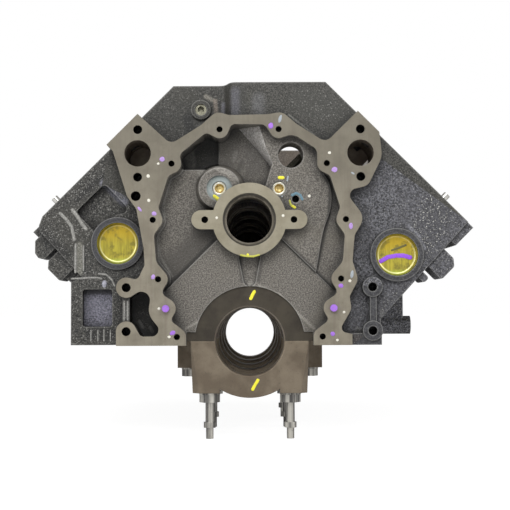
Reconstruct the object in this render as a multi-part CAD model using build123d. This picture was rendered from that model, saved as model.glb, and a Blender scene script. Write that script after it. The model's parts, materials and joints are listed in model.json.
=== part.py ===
from build123d import *
import math
import os

os.makedirs("parts", exist_ok=True)

# A cast-iron V8 cylinder block with its main caps, plugs, dowels and cam bearings. Millimetres.
# Seen from the front +X is to the right, +Y runs to the rear and +Z is up.
# The origin is on the crank axis, in the plane of the machined front face.
# RIGHT and LEFT are the two banks as the front view shows them.
RIGHT = 1
LEFT = -1
BANKS = (RIGHT, LEFT)

# Cylinders and banks
CYLINDERS_PER_BANK = 4
CYLINDER_BORE = 107.95
BORE_SPACING = 122.94
BORE_LENGTH = 152.0
BORE_RUNOUT = 12.0
BORE_CHAMFER = 1.5
BANK_ANGLE = 45.0
BANK_OFFSET = 20.3
BANK_END_WALL = 72.2
DECK_HEIGHT = 259.08
DECK_OUTER = 77.5
DECK_INNER = 82.0
DECK_STOCK = 1.0
WALL_FOOT = 83.5
DECK_FLANGE = 86.0
DECK_FLANGE_LOW = 232.0
DECK_FLANGE_SETBACK = 3.0

# Crank line and bulkheads
MAIN_FRONT = 16.0
MAIN_THICKNESS = 33.0
REAR_MAIN_THICKNESS = 38.0
MAIN_BORE = 74.6
MAIN_CHAMFER = 1.1
BULKHEADS = CYLINDERS_PER_BANK + 1
PAN_RAIL_DROP = 4.2
SKIRT_HALF_WIDTH = 142.0
CRANKCASE_HALF_WIDTH = 112.0
SEAL_OPENING_RADIUS = 62.0

# Cam line and valley
CAM_HEIGHT = 130.87
CAM_BORE = 53.85
CAM_CHAMFER = 1.9
CAM_CLEARANCE_RADIUS = 33.0
CAM_JOURNAL_BORE = 49.5
CAM_BEARING_LENGTH = 19.0
CAM_BEARING_SETBACK = 7.0
CAM_PLUG_THICKNESS = 1.6
CAM_PLUG_DEPTH = 8.0
LIFTER_BORE = 21.4
LIFTER_SPACING = 46.0
LIFTER_BOSS_RADIUS = 16.5
LIFTER_RAIL_HEIGHT = 203.0
LIFTER_RAIL_EDGE = 100.0
VALLEY_FLOOR = 176.0
VALLEY_DRAIN_LENGTH = 34.0
VALLEY_DRAIN_WIDTH = 13.0

# Valley end walls
END_RAIL_HEIGHT = 282.6
END_RAIL_THICKNESS = 13.0
END_RAIL_DEPTH = 26.0
END_WALL_THICKNESS = 12.0
STEP_START_X = -13.0
STEP_END_X = -34.0

# Rear flange
REAR_OVERHANG = 63.74
BLOCK_LENGTH = MAIN_FRONT + CYLINDERS_PER_BANK * BORE_SPACING + REAR_OVERHANG
FLANGE_THICKNESS = 17.0
FLANGE_BOLTS = ((60.3, 196.0), (146.0, 143.5), (178.0, 26.0))
FLANGE_BOLT_RADIUS = 4.8
FLANGE_BOSS_RADIUS = 15.0
FLANGE_DOWEL = (165.1, 79.4)
FLANGE_FOOT = (178.0, 4.0)
FLANGE_DOWEL_RADIUS = 7.9
FLANGE_DOWEL_LENGTH = 26.0
FLANGE_DOWEL_PROUD = 12.0

# Front face: the bolts and dowels of its cover, counted down one side, and the two pump ports
FRONT_WALL_BACK = 44.0
COVER_BOLTS = ((31.9, 228.8), (83.8, 191.7), (104.0, 130.9), (98.2, 67.0), (78.0, 5.1))
COVER_BOLT_RADIUS = 3.3
COVER_BOLT_DEPTH = 18.0
COVER_BOSS_RADIUS = 10.3
COVER_END_BOSS_RADIUS = 9.7
COVER_DOWEL = (90.0, 35.5)
COVER_DOWEL_RADIUS = 3.8
COVER_DOWEL_LENGTH = 18.0
COVER_DOWEL_PROUD = 4.0
COVER_DOWEL_BOSS = 10.7
PUMP_PORT = (120.3, 202.9)
PUMP_PORT_RADIUS = 14.3
PUMP_PORT_DEPTH = 60.0
PUMP_PAD_RADIUS = 22.8
PUMP_BOLT_OFFSET = 25.8
PUMP_BOLT_RADIUS = 4.8
PUMP_BOLT_DEPTH = 24.0
PUMP_LOWER_BOSS = 11.4
PAD_CORNERS = {RIGHT: (61.2, 92.5), LEFT: (41.4, 88.7)}
EXTRA_HOLE = (-122.3, 156.6)
EXTRA_HOLE_RADIUS = 5.3
SIDE_BOSSES = ((132.3, 58.1), (132.3, 11.1))
SIDE_BOSS_RADIUS = 10.9
SIDE_HOLE_RADIUS = 4.8
SIDE_RIB_X = 133.0
SIDE_RIB_HALF_WIDTH = 3.7
SIDE_RIB_SETBACK = 4.5
RIGHT_SIDE_SETBACK = 3.0
FOOT_BAR_SETBACK = 5.0
FOOT_BAR_TOP = 8.4

# Stations of the machined face's two edges, as (x, z, radius). A positive radius bulges, a negative one
# is a hollow, and none is a sharp corner. The inner edge is the same on both sides up to the upper bolt.
CHEST_FOOT = 68.4
FOOT_HOLLOW = (78.9, 23.9, -4.7)
DOWEL_HOLLOW = (87.4, 53.7, -5.9)
LOWER_HOLLOWS = ((87.2, 91.0, -13.6), (95.4, 112.6, -7.2))
UPPER_HOLLOWS = ((91.6, 144.4, -6.0), (80.7, 173.1, -7.8))
RIGHT_SHOULDER = ((63.3, 201.1, -10.2), (45.3, 207.6, -14.6))
LEFT_SHOULDER = ((-67.4, 199.0, -7.0), (-45.7, 218.3, -6.0))
CHEST_TOP = ((12.9, 226.6, -7.5), (-14.8, 228.3, -6.2))
RIGHT_FOOT = ((109.8, 7.6, 0), (103.9, 14.4, -5.4), (98.0, 36.3, 10.7), (112.8, 47.2, -5.4))
LOWER_LOBE = (102.3, 67.4, 13.4)
RIGHT_WAIST = ((119.4, 86.6, -8.6), (119.4, 111.8, -6.4))
UPPER_LOBE = (107.3, 131.8, 14.2)
RIGHT_NECK = (116.2, 156.5, -7.7)
RIGHT_ARMPIT = ((81.7, 226.4, -9.6), (51.4, 234.4, 0))
TOP_LOBE = (32.6, 235.7, 11.2)
TOP_HOLLOWS = ((18.7, 257.9, -12.9), (-19.8, 257.2, -12.9))
LEFT_ARMPIT = ((-51.9, 233.4, 0), (-83.5, 224.8, -9.5))
LEFT_NECK = ((-151.9, 202.6, -5.4), (-123.9, 160.5, 8.6), (-129.7, 139.1, -8.6))
LEFT_WAIST = ((-113.7, 100.0, 0), (-119.4, 83.4, -6.7), (-123.3, 72.8, -5.6))
LEFT_DOWEL_LOBE = ((-116.2, 44.4, -9.4), (-89.6, 34.8, 18.4), (-104.9, 12.9, -7.1), (-113.5, 11.6, -5.9))
LEFT_FOOT = 143.1

# Inside the timing chest
CAM_BOSS_RADIUS = 40.0
CAM_EAR_X = 48.0
CAM_EAR_RADIUS = 10.3
CAM_EAR_REACH = 52.2
CAM_EAR_HOLE_RADIUS = 3.6
CRANK_RECESS_RADIUS = 59.6
CENTRE_GROOVE_TOP = 11.4
CENTRE_GROOVE_FOOT = 6.6
CENTRE_GROOVE_END = 66.0
LOWER_STEP = 2.4
SIDE_STEP = 4.0
LEFT_STEP = 9.0
CHEST_LEDGE = 2.5
CENTRE_GROOVE_DEPTH = 5.0
CRANK_RECESS_STEP = 10.0
DIAGONAL_START = (23.7, 121.5)
DIAGONAL_FOOT = (92.3, 54.0)
SIDE_STRIP = ((79.5, 183.0), (88.4, 166.0), (86.4, 136.4), (82.7, 126.7), (73.4, 81.3), (71.9, 74.0))
STEP_EDGE = ((10.6, 240.0), (18.8, 210.5), (25.4, 193.0), (18.4, 170.5), (14.0, 158.0))
STEP_BASE = ((-16.0, 240.0), (6.0, 214.5), (23.2, 192.6), (17.7, 172.9), (13.5, 158.0))
POCKET_SHELF = 187.5
POCKET_WALL = -34.0
POCKET_DEPTH = 7.0
WINDOW = (45.3, 202.1)
WINDOW_RADIUS = 13.9
OIL_HOLE = (50.3, 154.1)
OIL_HOLE_RADIUS = 3.9
GALLERY_X = 32.5
GALLERY_HEIGHT = 165.8
GALLERY_PLUG_RADIUS = 7.8
GALLERY_PLUG_LENGTH = 12.0
GALLERY_PLUG_RECESS = 1.5
GALLERY_SOCKET = 4.0
GALLERY_SOCKET_DEPTH = 6.0
GALLERY_BOSS_RADIUS = 22.5
GALLERY_SPOT_RADIUS = 13.9
GALLERY_SPOT_DEPTH = 3.0
GALLERY_BOSS_PROUD = 4.0

# Main caps and their bolts
FRONT_CAP_HALF_WIDTH = 64.4
FRONT_CAP_FACE = (64.0, 55.0)
CAP_PAD_DROP = 56.3
CAP_TAPER = 2.0
CAP_BOTTOM_RADIUS = 61.2
WIDE_CAP_HALF_WIDTH = 86.4
WIDE_CAP_SHOULDER = 35.0
CAP_CORE_HALF_WIDTH = 60.0
INNER_BOLT_X = 44.2
OUTER_BOLT_X = 72.7
INNER_BOLT_RADIUS = 6.35
OUTER_BOLT_RADIUS = 5.4
INNER_BOLT_GRIP = 42.0
OUTER_BOLT_GRIP = 34.0
HEX_ACROSS_FLATS = 19.6
OUTER_HEX_ACROSS_FLATS = 16.6
HEX_HEIGHT = 8.4
BOLT_FLANGE_RADIUS = 11.6
BOLT_FLANGE_THICKNESS = 2.2
STUD_NECK_RADIUS = 4.7
STUD_NECK_LENGTH = 21.6
STUD_COLLAR_RADIUS = 6.6
STUD_COLLAR_LENGTH = 6.0
STUD_TIP_RADIUS = 4.1
STUD_TIP_LENGTH = 12.0

# Deck holes and dowels
HEAD_BOLT_RADIUS = 5.55
HEAD_BOLT_DEPTH = 42.0
HEAD_BOLT_ROW = BORE_SPACING / 2
COOLANT_HOLE_RADIUS = 5.5
COOLANT_HOLE_DEPTH = 22.0
COOLANT_ROW = 68.0
COOLANT_STEP = 27.0
HEAD_DOWEL_RADIUS = 4.0
HEAD_DOWEL_LENGTH = 20.0
HEAD_DOWEL_PROUD = 7.5
HEAD_DOWEL_ROW = -41.0
HEAD_DOWEL_INSET = 12.0

# Core plugs and their bosses
CORE_PLUG_RADIUS = 22.9
CORE_PLUG_LENGTH = 10.0
CORE_PLUG_WALL = 1.6
CORE_PLUG_RECESS = 1.0
CORE_HOLE_DEPTH = 16.0
CORE_BOSS_RADIUS = 29.0
CORE_BOSS_PROUD = 3.5
CORE_HEIGHT = 178.7
FRONT_CORE_ROW = {RIGHT: -47.3, LEFT: -26.7}
REAR_CORE_ROW = -36.0
SIDE_CORE_HEIGHT = 190.0

# Skirt pockets, pan rail holes and side pads
RAIL_THICKNESS = 13.0
SKIRT_POCKET_DEPTH = 11.0
SKIRT_POCKET_TOP = 54.0
SKIRT_RIB = 13.0
RAIL_BOLT_RADIUS = 3.3
RAIL_BOLT_DEPTH = 18.0
RAIL_BOLT_INSET = 10.0
MOUNT_FOOT_X = 196.0
MOUNT_PAD_X = 187.0
MOUNT_FOOT_HEIGHT = 15.0
MOUNT_TOP_HEIGHT = 62.0
MOUNT_CENTRE_Y = 218.0
MOUNT_HALF_SPACING = 48.0
MOUNT_BOSS_RADIUS = 11.0
MOUNT_WEB_HALF = 7.0
MOUNT_BOLT_RADIUS = 4.8
MOUNT_BOLT_DEPTH = 22.0
PUMP_BOSS_REAR = 132.0
PUMP_BOSS_X = 196.6
PUMP_BOSS_TOP = 65.0
PUMP_BOSS_SLOPE_TOP = 88.0
PUMP_WINDOW_X = -167.5
PUMP_WINDOW_HEIGHT = 36.5
PUMP_WINDOW = (32.6, 41.0)
PUMP_WINDOW_CORNER = 3.0
PUMP_WINDOW_DEPTH = 18.0
PUMP_SHAFT_RADIUS = 19.0
PUMP_SHAFT_HEIGHT = 29.0
PUMP_BOLT_RUN = 19.0
PUMP_BOLT_DROP = 13.0
DRAIN_PLUG_RADIUS = 8.0
DRAIN_PLUG_LENGTH = 14.0
DRAIN_PLUG_HEAD = 6.0
DRAIN_PLUG_Y = 330.0
DRAIN_PLUG_HEIGHT = 142.0
WALL_PLUG = (-53.3, 255.6)
WALL_PLUG_RADIUS = 6.4
WALL_PLUG_BOSS = 11.0
DRAIN_PLUG_HEX = 10.4
LEFT_POCKET = ((-160.0, 174.0), (-192.0, 142.5), (-164.0, 113.5), (-148.0, 139.0), (-131.0, 143.0))
LEFT_POCKET_CORNER = 5.0
LEFT_POCKET_DEPTH = 9.0

# Lugs on the banks' outer walls, as (height, inward) in a bank's section
WALL_LUG = ((220.0, -70.0), (220.0, -94.0), (214.0, -101.0), (194.0, -101.0), (194.0, -70.0))
SMALL_LUG = ((186.0, -70.0), (186.0, -90.0), (178.0, -90.0), (178.0, -70.0))
CORNER_LUG = (
    (252.4, -70.0),
    (252.4, -82.7),
    (236.2, -99.0),
    (229.5, -100.0),
    (224.5, -95.0),
    (224.5, -70.0),
)
LUG_CORNER = 3.0
LUG_LENGTH = 40.0
CORNER_CUT = ((262.0, -58.0), (262.0, -100.0), (246.0, -100.0), (246.0, -79.5), (254.5, -74.0))
CORNER_CUT_LENGTH = 28.0

SIN = math.sin(math.radians(BANK_ANGLE))
COS = math.cos(math.radians(BANK_ANGLE))


def front_slab(outline, front, back):
    """A prism whose outline is drawn in the front view, from one depth to a greater one."""
    return extrude(Plane.XZ.offset(-front) * outline, amount=back - front, dir=(0, 1, 0))


def rod(start, direction, radius, length):
    """A round bar that starts at a point and runs along a direction."""
    solid = Cylinder(radius, length, align=(Align.CENTER, Align.CENTER, Align.MIN))
    return Plane(origin=start, z_dir=direction) * solid


def ring_cut(start, direction, radius, chamfer):
    """The cone that chamfers the mouth of a bore, from its rim inward."""
    solid = Cone(radius + chamfer, radius, chamfer, align=(Align.CENTER, Align.CENTER, Align.MIN))
    return Plane(origin=start, z_dir=direction) * solid


def outline_of(*corners):
    """A straight-edged outline through corners, always counter-clockwise, so that outlines add up."""
    area = sum(a[0] * b[1] - b[0] * a[1] for a, b in zip(corners, [*corners[1:], corners[0]]))
    return Polygon(*(corners if area > 0 else corners[::-1]), align=None)


def disc(point, radius):
    """A round outline at a point of the front view."""
    return Pos(point[0], point[1]) * Circle(radius)


def link(start, start_radius, end, end_radius):
    """A bar between two points with round ends, whose half-width changes from one end to the other."""
    run_x = end[0] - start[0]
    run_z = end[1] - start[1]
    along = math.atan2(run_z, run_x)
    spread = math.acos((start_radius - end_radius) / math.hypot(run_x, run_z))
    corners = []
    for turn, (x, z), radius in (
        (along + spread, start, start_radius),
        (along + spread, end, end_radius),
        (along - spread, end, end_radius),
        (along - spread, start, start_radius),
    ):
        corners.append((x + radius * math.cos(turn), z + radius * math.sin(turn)))
    return disc(start, start_radius) + outline_of(*corners) + disc(end, end_radius)


def on_side(side, point):
    """A point drawn for the right half, on the side asked for."""
    return (side * point[0], point[1])


def chain(side, *stations):
    """Bars through stations given as (point, half-width), one after another, on one side."""
    outline = disc(on_side(side, stations[0][0]), stations[0][1])
    for (start, start_radius), (end, end_radius) in zip(stations, stations[1:]):
        outline += link(on_side(side, start), start_radius, on_side(side, end), end_radius)
    return outline


def bank_xz(side, height, inward):
    """A point of a bank's section: its height along the bores, and how far inward across them."""
    return (side * (height * SIN - inward * COS), height * COS + inward * SIN)


def bank_point(side, y, height, inward):
    """The same point at a distance from the front face."""
    x, z = bank_xz(side, height, inward)
    return Vector(x, y, z)


def bank_axis(side):
    """The direction of a bank's bores, out of the deck."""
    return Vector(side * SIN, 0, COS)


def main_front(index):
    """Where a bulkhead starts, counted from the front."""
    return MAIN_FRONT + index * BORE_SPACING


def main_length(index):
    """How long a bulkhead's bore is: the rear one also holds the seal."""
    return REAR_MAIN_THICKNESS if index == BULKHEADS - 1 else MAIN_THICKNESS


def bore_y(side, index):
    """Where a cylinder's axis lies. Opposite cylinders share a pin, half a bank offset each way."""
    pin = MAIN_FRONT + MAIN_THICKNESS / 2 + (index + 0.5) * BORE_SPACING
    return pin - side * BANK_OFFSET / 2


def bank_front(side):
    return bore_y(side, 0) - BANK_END_WALL


def bank_rear(side):
    return bore_y(side, CYLINDERS_PER_BANK - 1) + BANK_END_WALL


def skirt_corner_height():
    """Where a bank's outer wall meets the straight skirt."""
    return (SKIRT_HALF_WIDTH * COS - WALL_FOOT) / SIN


def bank_outline(side, *points):
    """A straight-edged outline through points given in a bank's section."""
    return outline_of(*[bank_xz(side, height, inward) for height, inward in points])


def bank_body(side):
    """One bank with its half of the valley floor, as a long prism under the deck."""
    floor_x = side * (VALLEY_FLOOR * SIN - LIFTER_RAIL_EDGE) / COS
    outline = outline_of(
        (0, VALLEY_FLOOR - CAM_BORE),
        (side * SKIRT_HALF_WIDTH, skirt_corner_height()),
        bank_xz(side, DECK_HEIGHT, -DECK_OUTER),
        bank_xz(side, DECK_HEIGHT, DECK_INNER),
        bank_xz(side, LIFTER_RAIL_HEIGHT, DECK_INNER),
        bank_xz(side, LIFTER_RAIL_HEIGHT, LIFTER_RAIL_EDGE),
        (floor_x, VALLEY_FLOOR),
        (0, VALLEY_FLOOR),
    )
    return front_slab(outline, bank_front(side), bank_rear(side))


def outer_lugs(side):
    """The deck's flange along a bank's outer wall, and the lugs below it near the front."""
    front = bank_front(side) + DECK_FLANGE_SETBACK
    flange = (
        (DECK_HEIGHT, 0),
        (DECK_HEIGHT, -DECK_FLANGE),
        (DECK_FLANGE_LOW, -DECK_FLANGE),
        (DECK_FLANGE_LOW - DECK_FLANGE + DECK_OUTER, 0),
    )
    solids = [front_slab(bank_outline(side, *flange), front, bank_rear(side) - DECK_FLANGE_SETBACK)]
    lugs = [WALL_LUG, SMALL_LUG] if side == RIGHT else [WALL_LUG, SMALL_LUG, CORNER_LUG]
    for lug in lugs:
        outline = bank_outline(side, *lug)
        outline = fillet(outline.vertices(), LUG_CORNER)
        solids.append(front_slab(outline, front, front + LUG_LENGTH))
    return solids


def left_corner_cut():
    """The rounded-off outer corner of the left bank's front."""
    front = bank_front(LEFT)
    return front_slab(bank_outline(LEFT, *CORNER_CUT), front - 1, front + CORNER_CUT_LENGTH)


def crankcase_body(side):
    """Half the skirt and the bulkheads as one prism, from behind the front wall to the rear flange."""
    outline = outline_of(
        (0, -PAN_RAIL_DROP),
        (side * SKIRT_HALF_WIDTH, -PAN_RAIL_DROP),
        (side * SKIRT_HALF_WIDTH, skirt_corner_height()),
        (side * CRANKCASE_HALF_WIDTH, CAM_HEIGHT),
        (side * (VALLEY_FLOOR - CAM_HEIGHT), VALLEY_FLOOR),
        (0, VALLEY_FLOOR),
    )
    return front_slab(outline, bank_front(side), BLOCK_LENGTH)


def mirrored(stations):
    """The same stations on the other side, in the order in which the outline meets them there."""
    return [(-x, z, radius) for x, z, radius in reversed(stations)]


def belt_touch(station, heading):
    """Where a belt that runs along a heading touches the roller at a station."""
    x, z, radius = station
    return (x + radius * math.sin(heading), z - radius * math.cos(heading))


def belt(stations):
    """A closed outline that runs counter-clockwise like a belt, outside bulges and inside hollows."""
    following = [*stations[1:], stations[0]]
    headings = []
    for (x, z, radius), (next_x, next_z, next_radius) in zip(stations, following):
        lean = math.asin((next_radius - radius) / math.hypot(next_x - x, next_z - z))
        headings.append(math.atan2(next_z - z, next_x - x) - lean)
    edges = []
    for index, station in enumerate(stations):
        arrive = headings[index - 1]
        leave = headings[index]
        if station[2]:
            sweep = (leave - arrive) % math.tau
            if station[2] < 0:
                sweep -= math.tau
            places = [belt_touch(station, heading) for heading in (arrive, arrive + sweep / 2, leave)]
            edges.append(ThreePointArc(*places))
        edges.append(Line(belt_touch(station, leave), belt_touch(following[index], leave)))
    return make_face(edges)


def chest_opening():
    """The chest's outline in the front face: hollows of the metal are bulges of the opening."""
    top, upper, middle, lower, foot = COVER_BOLTS
    right = [
        (CHEST_FOOT, -2 * PAN_RAIL_DROP, 0),
        (*foot, COVER_END_BOSS_RADIUS),
        FOOT_HOLLOW,
        (*COVER_DOWEL, COVER_DOWEL_BOSS),
        DOWEL_HOLLOW,
        (*lower, COVER_BOSS_RADIUS),
        *LOWER_HOLLOWS,
        (*middle, COVER_BOSS_RADIUS),
        *UPPER_HOLLOWS,
        (*upper, COVER_BOSS_RADIUS),
    ]
    crown = [(*top, COVER_END_BOSS_RADIUS)]
    stations = [*right, *RIGHT_SHOULDER, *crown, *CHEST_TOP, *mirrored(crown)]
    stations += [*reversed(LEFT_SHOULDER), *mirrored(right)]
    return belt([(x, z, -radius) for x, z, radius in stations])


def pump_pad(side):
    """Stations round a coolant port and its lower bolt, up to the deck, on one side."""
    port_x, port_z = PUMP_PORT
    outer, inner = [bank_xz(side, DECK_HEIGHT + DECK_STOCK, inward) for inward in PAD_CORNERS[side]]
    pad = [(*outer, 0), (*inner, 0)]
    if side == RIGHT:
        pad = [(port_x, port_z - PUMP_BOLT_OFFSET, PUMP_LOWER_BOSS), (port_x, port_z, PUMP_PAD_RADIUS), *pad]
    return pad


def front_outline():
    """The outer edge of the machined front face, with the chest still filled."""
    upper_side, lower_side = [(-x, z, SIDE_BOSS_RADIUS) for x, z in SIDE_BOSSES]
    stations = [(-LEFT_FOOT, -PAN_RAIL_DROP, 0), (RIGHT_FOOT[0][0], -PAN_RAIL_DROP, 0), *RIGHT_FOOT]
    stations += [LOWER_LOBE, *RIGHT_WAIST, UPPER_LOBE, RIGHT_NECK, *pump_pad(RIGHT), *RIGHT_ARMPIT]
    stations += [TOP_LOBE, *TOP_HOLLOWS, *mirrored([TOP_LOBE]), *LEFT_ARMPIT, *reversed(pump_pad(LEFT))]
    stations += [*LEFT_NECK, *LEFT_WAIST, upper_side, *LEFT_DOWEL_LOBE, lower_side]
    return belt(stations)


def side_boss_group(side):
    """The two bolt bosses outboard of the chest, with the set-back rib between them."""
    upper, lower = [on_side(side, point) for point in SIDE_BOSSES]
    ends = [(side * SIDE_RIB_X, z) for _, z in (upper, lower)]
    rib = link(ends[0], SIDE_RIB_HALF_WIDTH, ends[1], SIDE_RIB_HALF_WIDTH)
    front = RIGHT_SIDE_SETBACK if side == RIGHT else 0
    bosses = [front_slab(disc(point, SIDE_BOSS_RADIUS), front, FRONT_WALL_BACK) for point in (upper, lower)]
    return [*bosses, front_slab(rib, SIDE_RIB_SETBACK, FRONT_WALL_BACK)]


def foot_bar():
    """The set-back strip along the pan rail, from the face's right foot to the outer corner."""
    inner_x = RIGHT_FOOT[1][0]
    outline = outline_of(
        (inner_x, -PAN_RAIL_DROP),
        (SKIRT_HALF_WIDTH, -PAN_RAIL_DROP),
        (SKIRT_HALF_WIDTH, FOOT_BAR_TOP),
        (inner_x, FOOT_BAR_TOP),
    )
    return front_slab(outline, FOOT_BAR_SETBACK, FRONT_WALL_BACK)


def below_rail():
    """Everything under the pan rail, which no part of the casting may reach."""
    reach = BLOCK_LENGTH
    return outline_of((-reach, -PAN_RAIL_DROP), (reach, -PAN_RAIL_DROP), (reach, -reach), (-reach, -reach))


def deck_trim():
    """What lies above the two decks, to cut the front pads level with them."""
    reach = BLOCK_LENGTH
    trims = []
    for side in BANKS:
        outline = outline_of(
            bank_xz(side, DECK_HEIGHT, -reach),
            bank_xz(side, DECK_HEIGHT, reach),
            bank_xz(side, DECK_HEIGHT + reach, reach),
            bank_xz(side, DECK_HEIGHT + reach, -reach),
        )
        trims.append(front_slab(outline, -MAIN_FRONT, BLOCK_LENGTH + MAIN_FRONT))
    return trims


def valley_front_walls():
    """The valley's front wall, with an S-shaped step between the banks, and its thicker rail."""
    right_front = bank_front(RIGHT)
    left_front = bank_front(LEFT)
    reach = END_RAIL_HEIGHT * SIN / COS
    walls = []
    rail_low = END_RAIL_HEIGHT - END_RAIL_THICKNESS
    ends = ((STEP_START_X, right_front), (STEP_END_X, left_front))
    for depth, low in ((END_WALL_THICKNESS, VALLEY_FLOOR), (END_RAIL_DEPTH, rail_low)):
        back = left_front + depth
        step = Spline(*ends, tangents=((-1, 0), (-1, 0)))
        edge = Line((reach, right_front), (STEP_START_X, right_front)) + step
        edge += Polyline((STEP_END_X, left_front), (-reach, left_front), (-reach, back), (reach, back))
        edge += Line((reach, back), (reach, right_front))
        walls.append(extrude(Plane.XY.offset(low) * make_face(edge), amount=END_RAIL_HEIGHT - low))
    return walls


def valley_rear_wall():
    half = DECK_HEIGHT / COS - END_RAIL_HEIGHT
    outline = outline_of(
        (-half, END_RAIL_HEIGHT),
        (half, END_RAIL_HEIGHT),
        bank_xz(RIGHT, DECK_HEIGHT, DECK_INNER),
        (CAM_HEIGHT, CAM_HEIGHT),
        (-CAM_HEIGHT, CAM_HEIGHT),
        bank_xz(LEFT, DECK_HEIGHT, DECK_INNER),
    )
    return front_slab(outline, bank_rear(LEFT) - END_RAIL_DEPTH, bank_rear(LEFT))


def rear_flange():
    """The bellhousing flange: bosses round its bolts and dowels, joined by a plate."""
    top, upper, lower = FLANGE_BOLTS
    radius = FLANGE_BOSS_RADIUS
    right = [FLANGE_FOOT, lower, FLANGE_DOWEL, upper, top]
    rims = [chain(side, *[(point, radius) for point in right]) for side in BANKS]
    outline = rims[0] + rims[1] + link(top, radius, on_side(LEFT, top), radius)
    left = [on_side(LEFT, point) for point in reversed(right)]
    outline += outline_of(*right, *left)
    return front_slab(outline - below_rail(), BLOCK_LENGTH - FLANGE_THICKNESS, BLOCK_LENGTH)


def lifter_bosses(side):
    """The round guides of the tappets, in the valley beside each bank."""
    inward = CAM_HEIGHT * SIN
    bosses = []
    for index in range(CYLINDERS_PER_BANK):
        for shift in (-LIFTER_SPACING / 2, LIFTER_SPACING / 2):
            foot = bank_point(side, bore_y(side, index) + shift, CAM_HEIGHT * COS + CAM_BORE, inward)
            length = LIFTER_RAIL_HEIGHT - CAM_HEIGHT * COS - CAM_BORE
            bosses.append(rod(foot, bank_axis(side), LIFTER_BOSS_RADIUS, length))
    return bosses


def lifter_bores(side):
    inward = CAM_HEIGHT * SIN
    bores = []
    for index in range(CYLINDERS_PER_BANK):
        for shift in (-LIFTER_SPACING / 2, LIFTER_SPACING / 2):
            start = bank_point(side, bore_y(side, index) + shift, CAM_HEIGHT * COS, inward)
            length = LIFTER_RAIL_HEIGHT - CAM_HEIGHT * COS + BORE_RUNOUT
            bores.append(rod(start, bank_axis(side), LIFTER_BORE / 2, length))
    return bores


def crankcase_bays():
    """The rooms between the bulkheads, up to the cylinders' lower ends and round the camshaft."""
    skirt_top = DECK_HEIGHT - BORE_LENGTH
    corner_height = (skirt_top - CRANKCASE_HALF_WIDTH * SIN) / COS
    ridge_half = CAM_CLEARANCE_RADIUS
    ridge = (skirt_top - ridge_half * SIN) / COS
    room = outline_of(
        (-CRANKCASE_HALF_WIDTH, -CRANKCASE_HALF_WIDTH),
        (CRANKCASE_HALF_WIDTH, -CRANKCASE_HALF_WIDTH),
        (CRANKCASE_HALF_WIDTH, corner_height),
        (ridge_half, ridge),
        (-ridge_half, ridge),
        (-CRANKCASE_HALF_WIDTH, corner_height),
    )
    room += disc((0, CAM_HEIGHT), CAM_CLEARANCE_RADIUS)
    bays = []
    for index in range(CYLINDERS_PER_BANK):
        bays.append(front_slab(room, main_front(index) + main_length(index), main_front(index + 1)))
    return bays


def cylinder_bores(side):
    bores = []
    for index in range(CYLINDERS_PER_BANK):
        y = bore_y(side, index)
        low = DECK_HEIGHT - BORE_LENGTH - BORE_RUNOUT
        bores.append(rod(bank_point(side, y, low, 0), bank_axis(side), CYLINDER_BORE / 2, DECK_HEIGHT - low))
        bores.append(
            ring_cut(bank_point(side, y, DECK_HEIGHT, 0), -bank_axis(side), CYLINDER_BORE / 2, BORE_CHAMFER)
        )
    return bores


def crank_and_cam_bores():
    """The bores that run the length of the block, with the chamfers at their front."""
    reach = BLOCK_LENGTH - MAIN_FRONT
    cuts = [
        rod((0, 0, 0), (0, 1, 0), MAIN_BORE / 2, BLOCK_LENGTH),
        rod((0, -1, CAM_HEIGHT), (0, 1, 0), CAM_BORE / 2, BLOCK_LENGTH + 2),
        ring_cut((0, 0, CAM_HEIGHT), (0, 1, 0), CAM_BORE / 2, CAM_CHAMFER),
        rod((0, main_front(BULKHEADS - 1) + REAR_MAIN_THICKNESS, 0), (0, 1, 0), SEAL_OPENING_RADIUS, reach),
    ]
    for index in range(BULKHEADS):
        cuts.append(ring_cut((0, main_front(index), 0), (0, 1, 0), MAIN_BORE / 2, MAIN_CHAMFER))
    return cuts


def cap_seats():
    """The ground face of each bulkhead, where its cap fits, at the height of the crank axis."""
    seats = []
    for index in range(BULKHEADS):
        half = CRANKCASE_HALF_WIDTH
        seat = outline_of((-half, 0), (half, 0), (half, -half), (-half, -half))
        seats.append(front_slab(seat, main_front(index), main_front(index) + main_length(index)))
    return seats


def deck_holes(side):
    """The head bolts' threaded holes, the coolant holes between them and the dowels' holes."""
    axis = bank_axis(side)
    cuts = []
    low = DECK_HEIGHT - COOLANT_HOLE_DEPTH
    for index in range(CYLINDERS_PER_BANK + 1):
        y = bore_y(side, 0) + (index - 0.5) * BORE_SPACING
        for row in (-HEAD_BOLT_ROW, HEAD_BOLT_ROW):
            start = bank_point(side, y, DECK_HEIGHT - HEAD_BOLT_DEPTH, row)
            cuts.append(rod(start, axis, HEAD_BOLT_RADIUS, HEAD_BOLT_DEPTH))
    for index in range(CYLINDERS_PER_BANK):
        for shift in (-COOLANT_STEP, COOLANT_STEP):
            for row in (-COOLANT_ROW, COOLANT_ROW):
                start = bank_point(side, bore_y(side, index) + shift, low, row)
                cuts.append(rod(start, axis, COOLANT_HOLE_RADIUS, COOLANT_HOLE_DEPTH))
    for y in head_dowel_places(side):
        start = bank_point(side, y, DECK_HEIGHT + HEAD_DOWEL_PROUD - HEAD_DOWEL_LENGTH, HEAD_DOWEL_ROW)
        cuts.append(rod(start, axis, HEAD_DOWEL_RADIUS, HEAD_DOWEL_LENGTH))
    return cuts


def head_dowel_places(side):
    return (bank_front(side) + HEAD_DOWEL_INSET, bank_rear(side) - HEAD_DOWEL_INSET)


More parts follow.
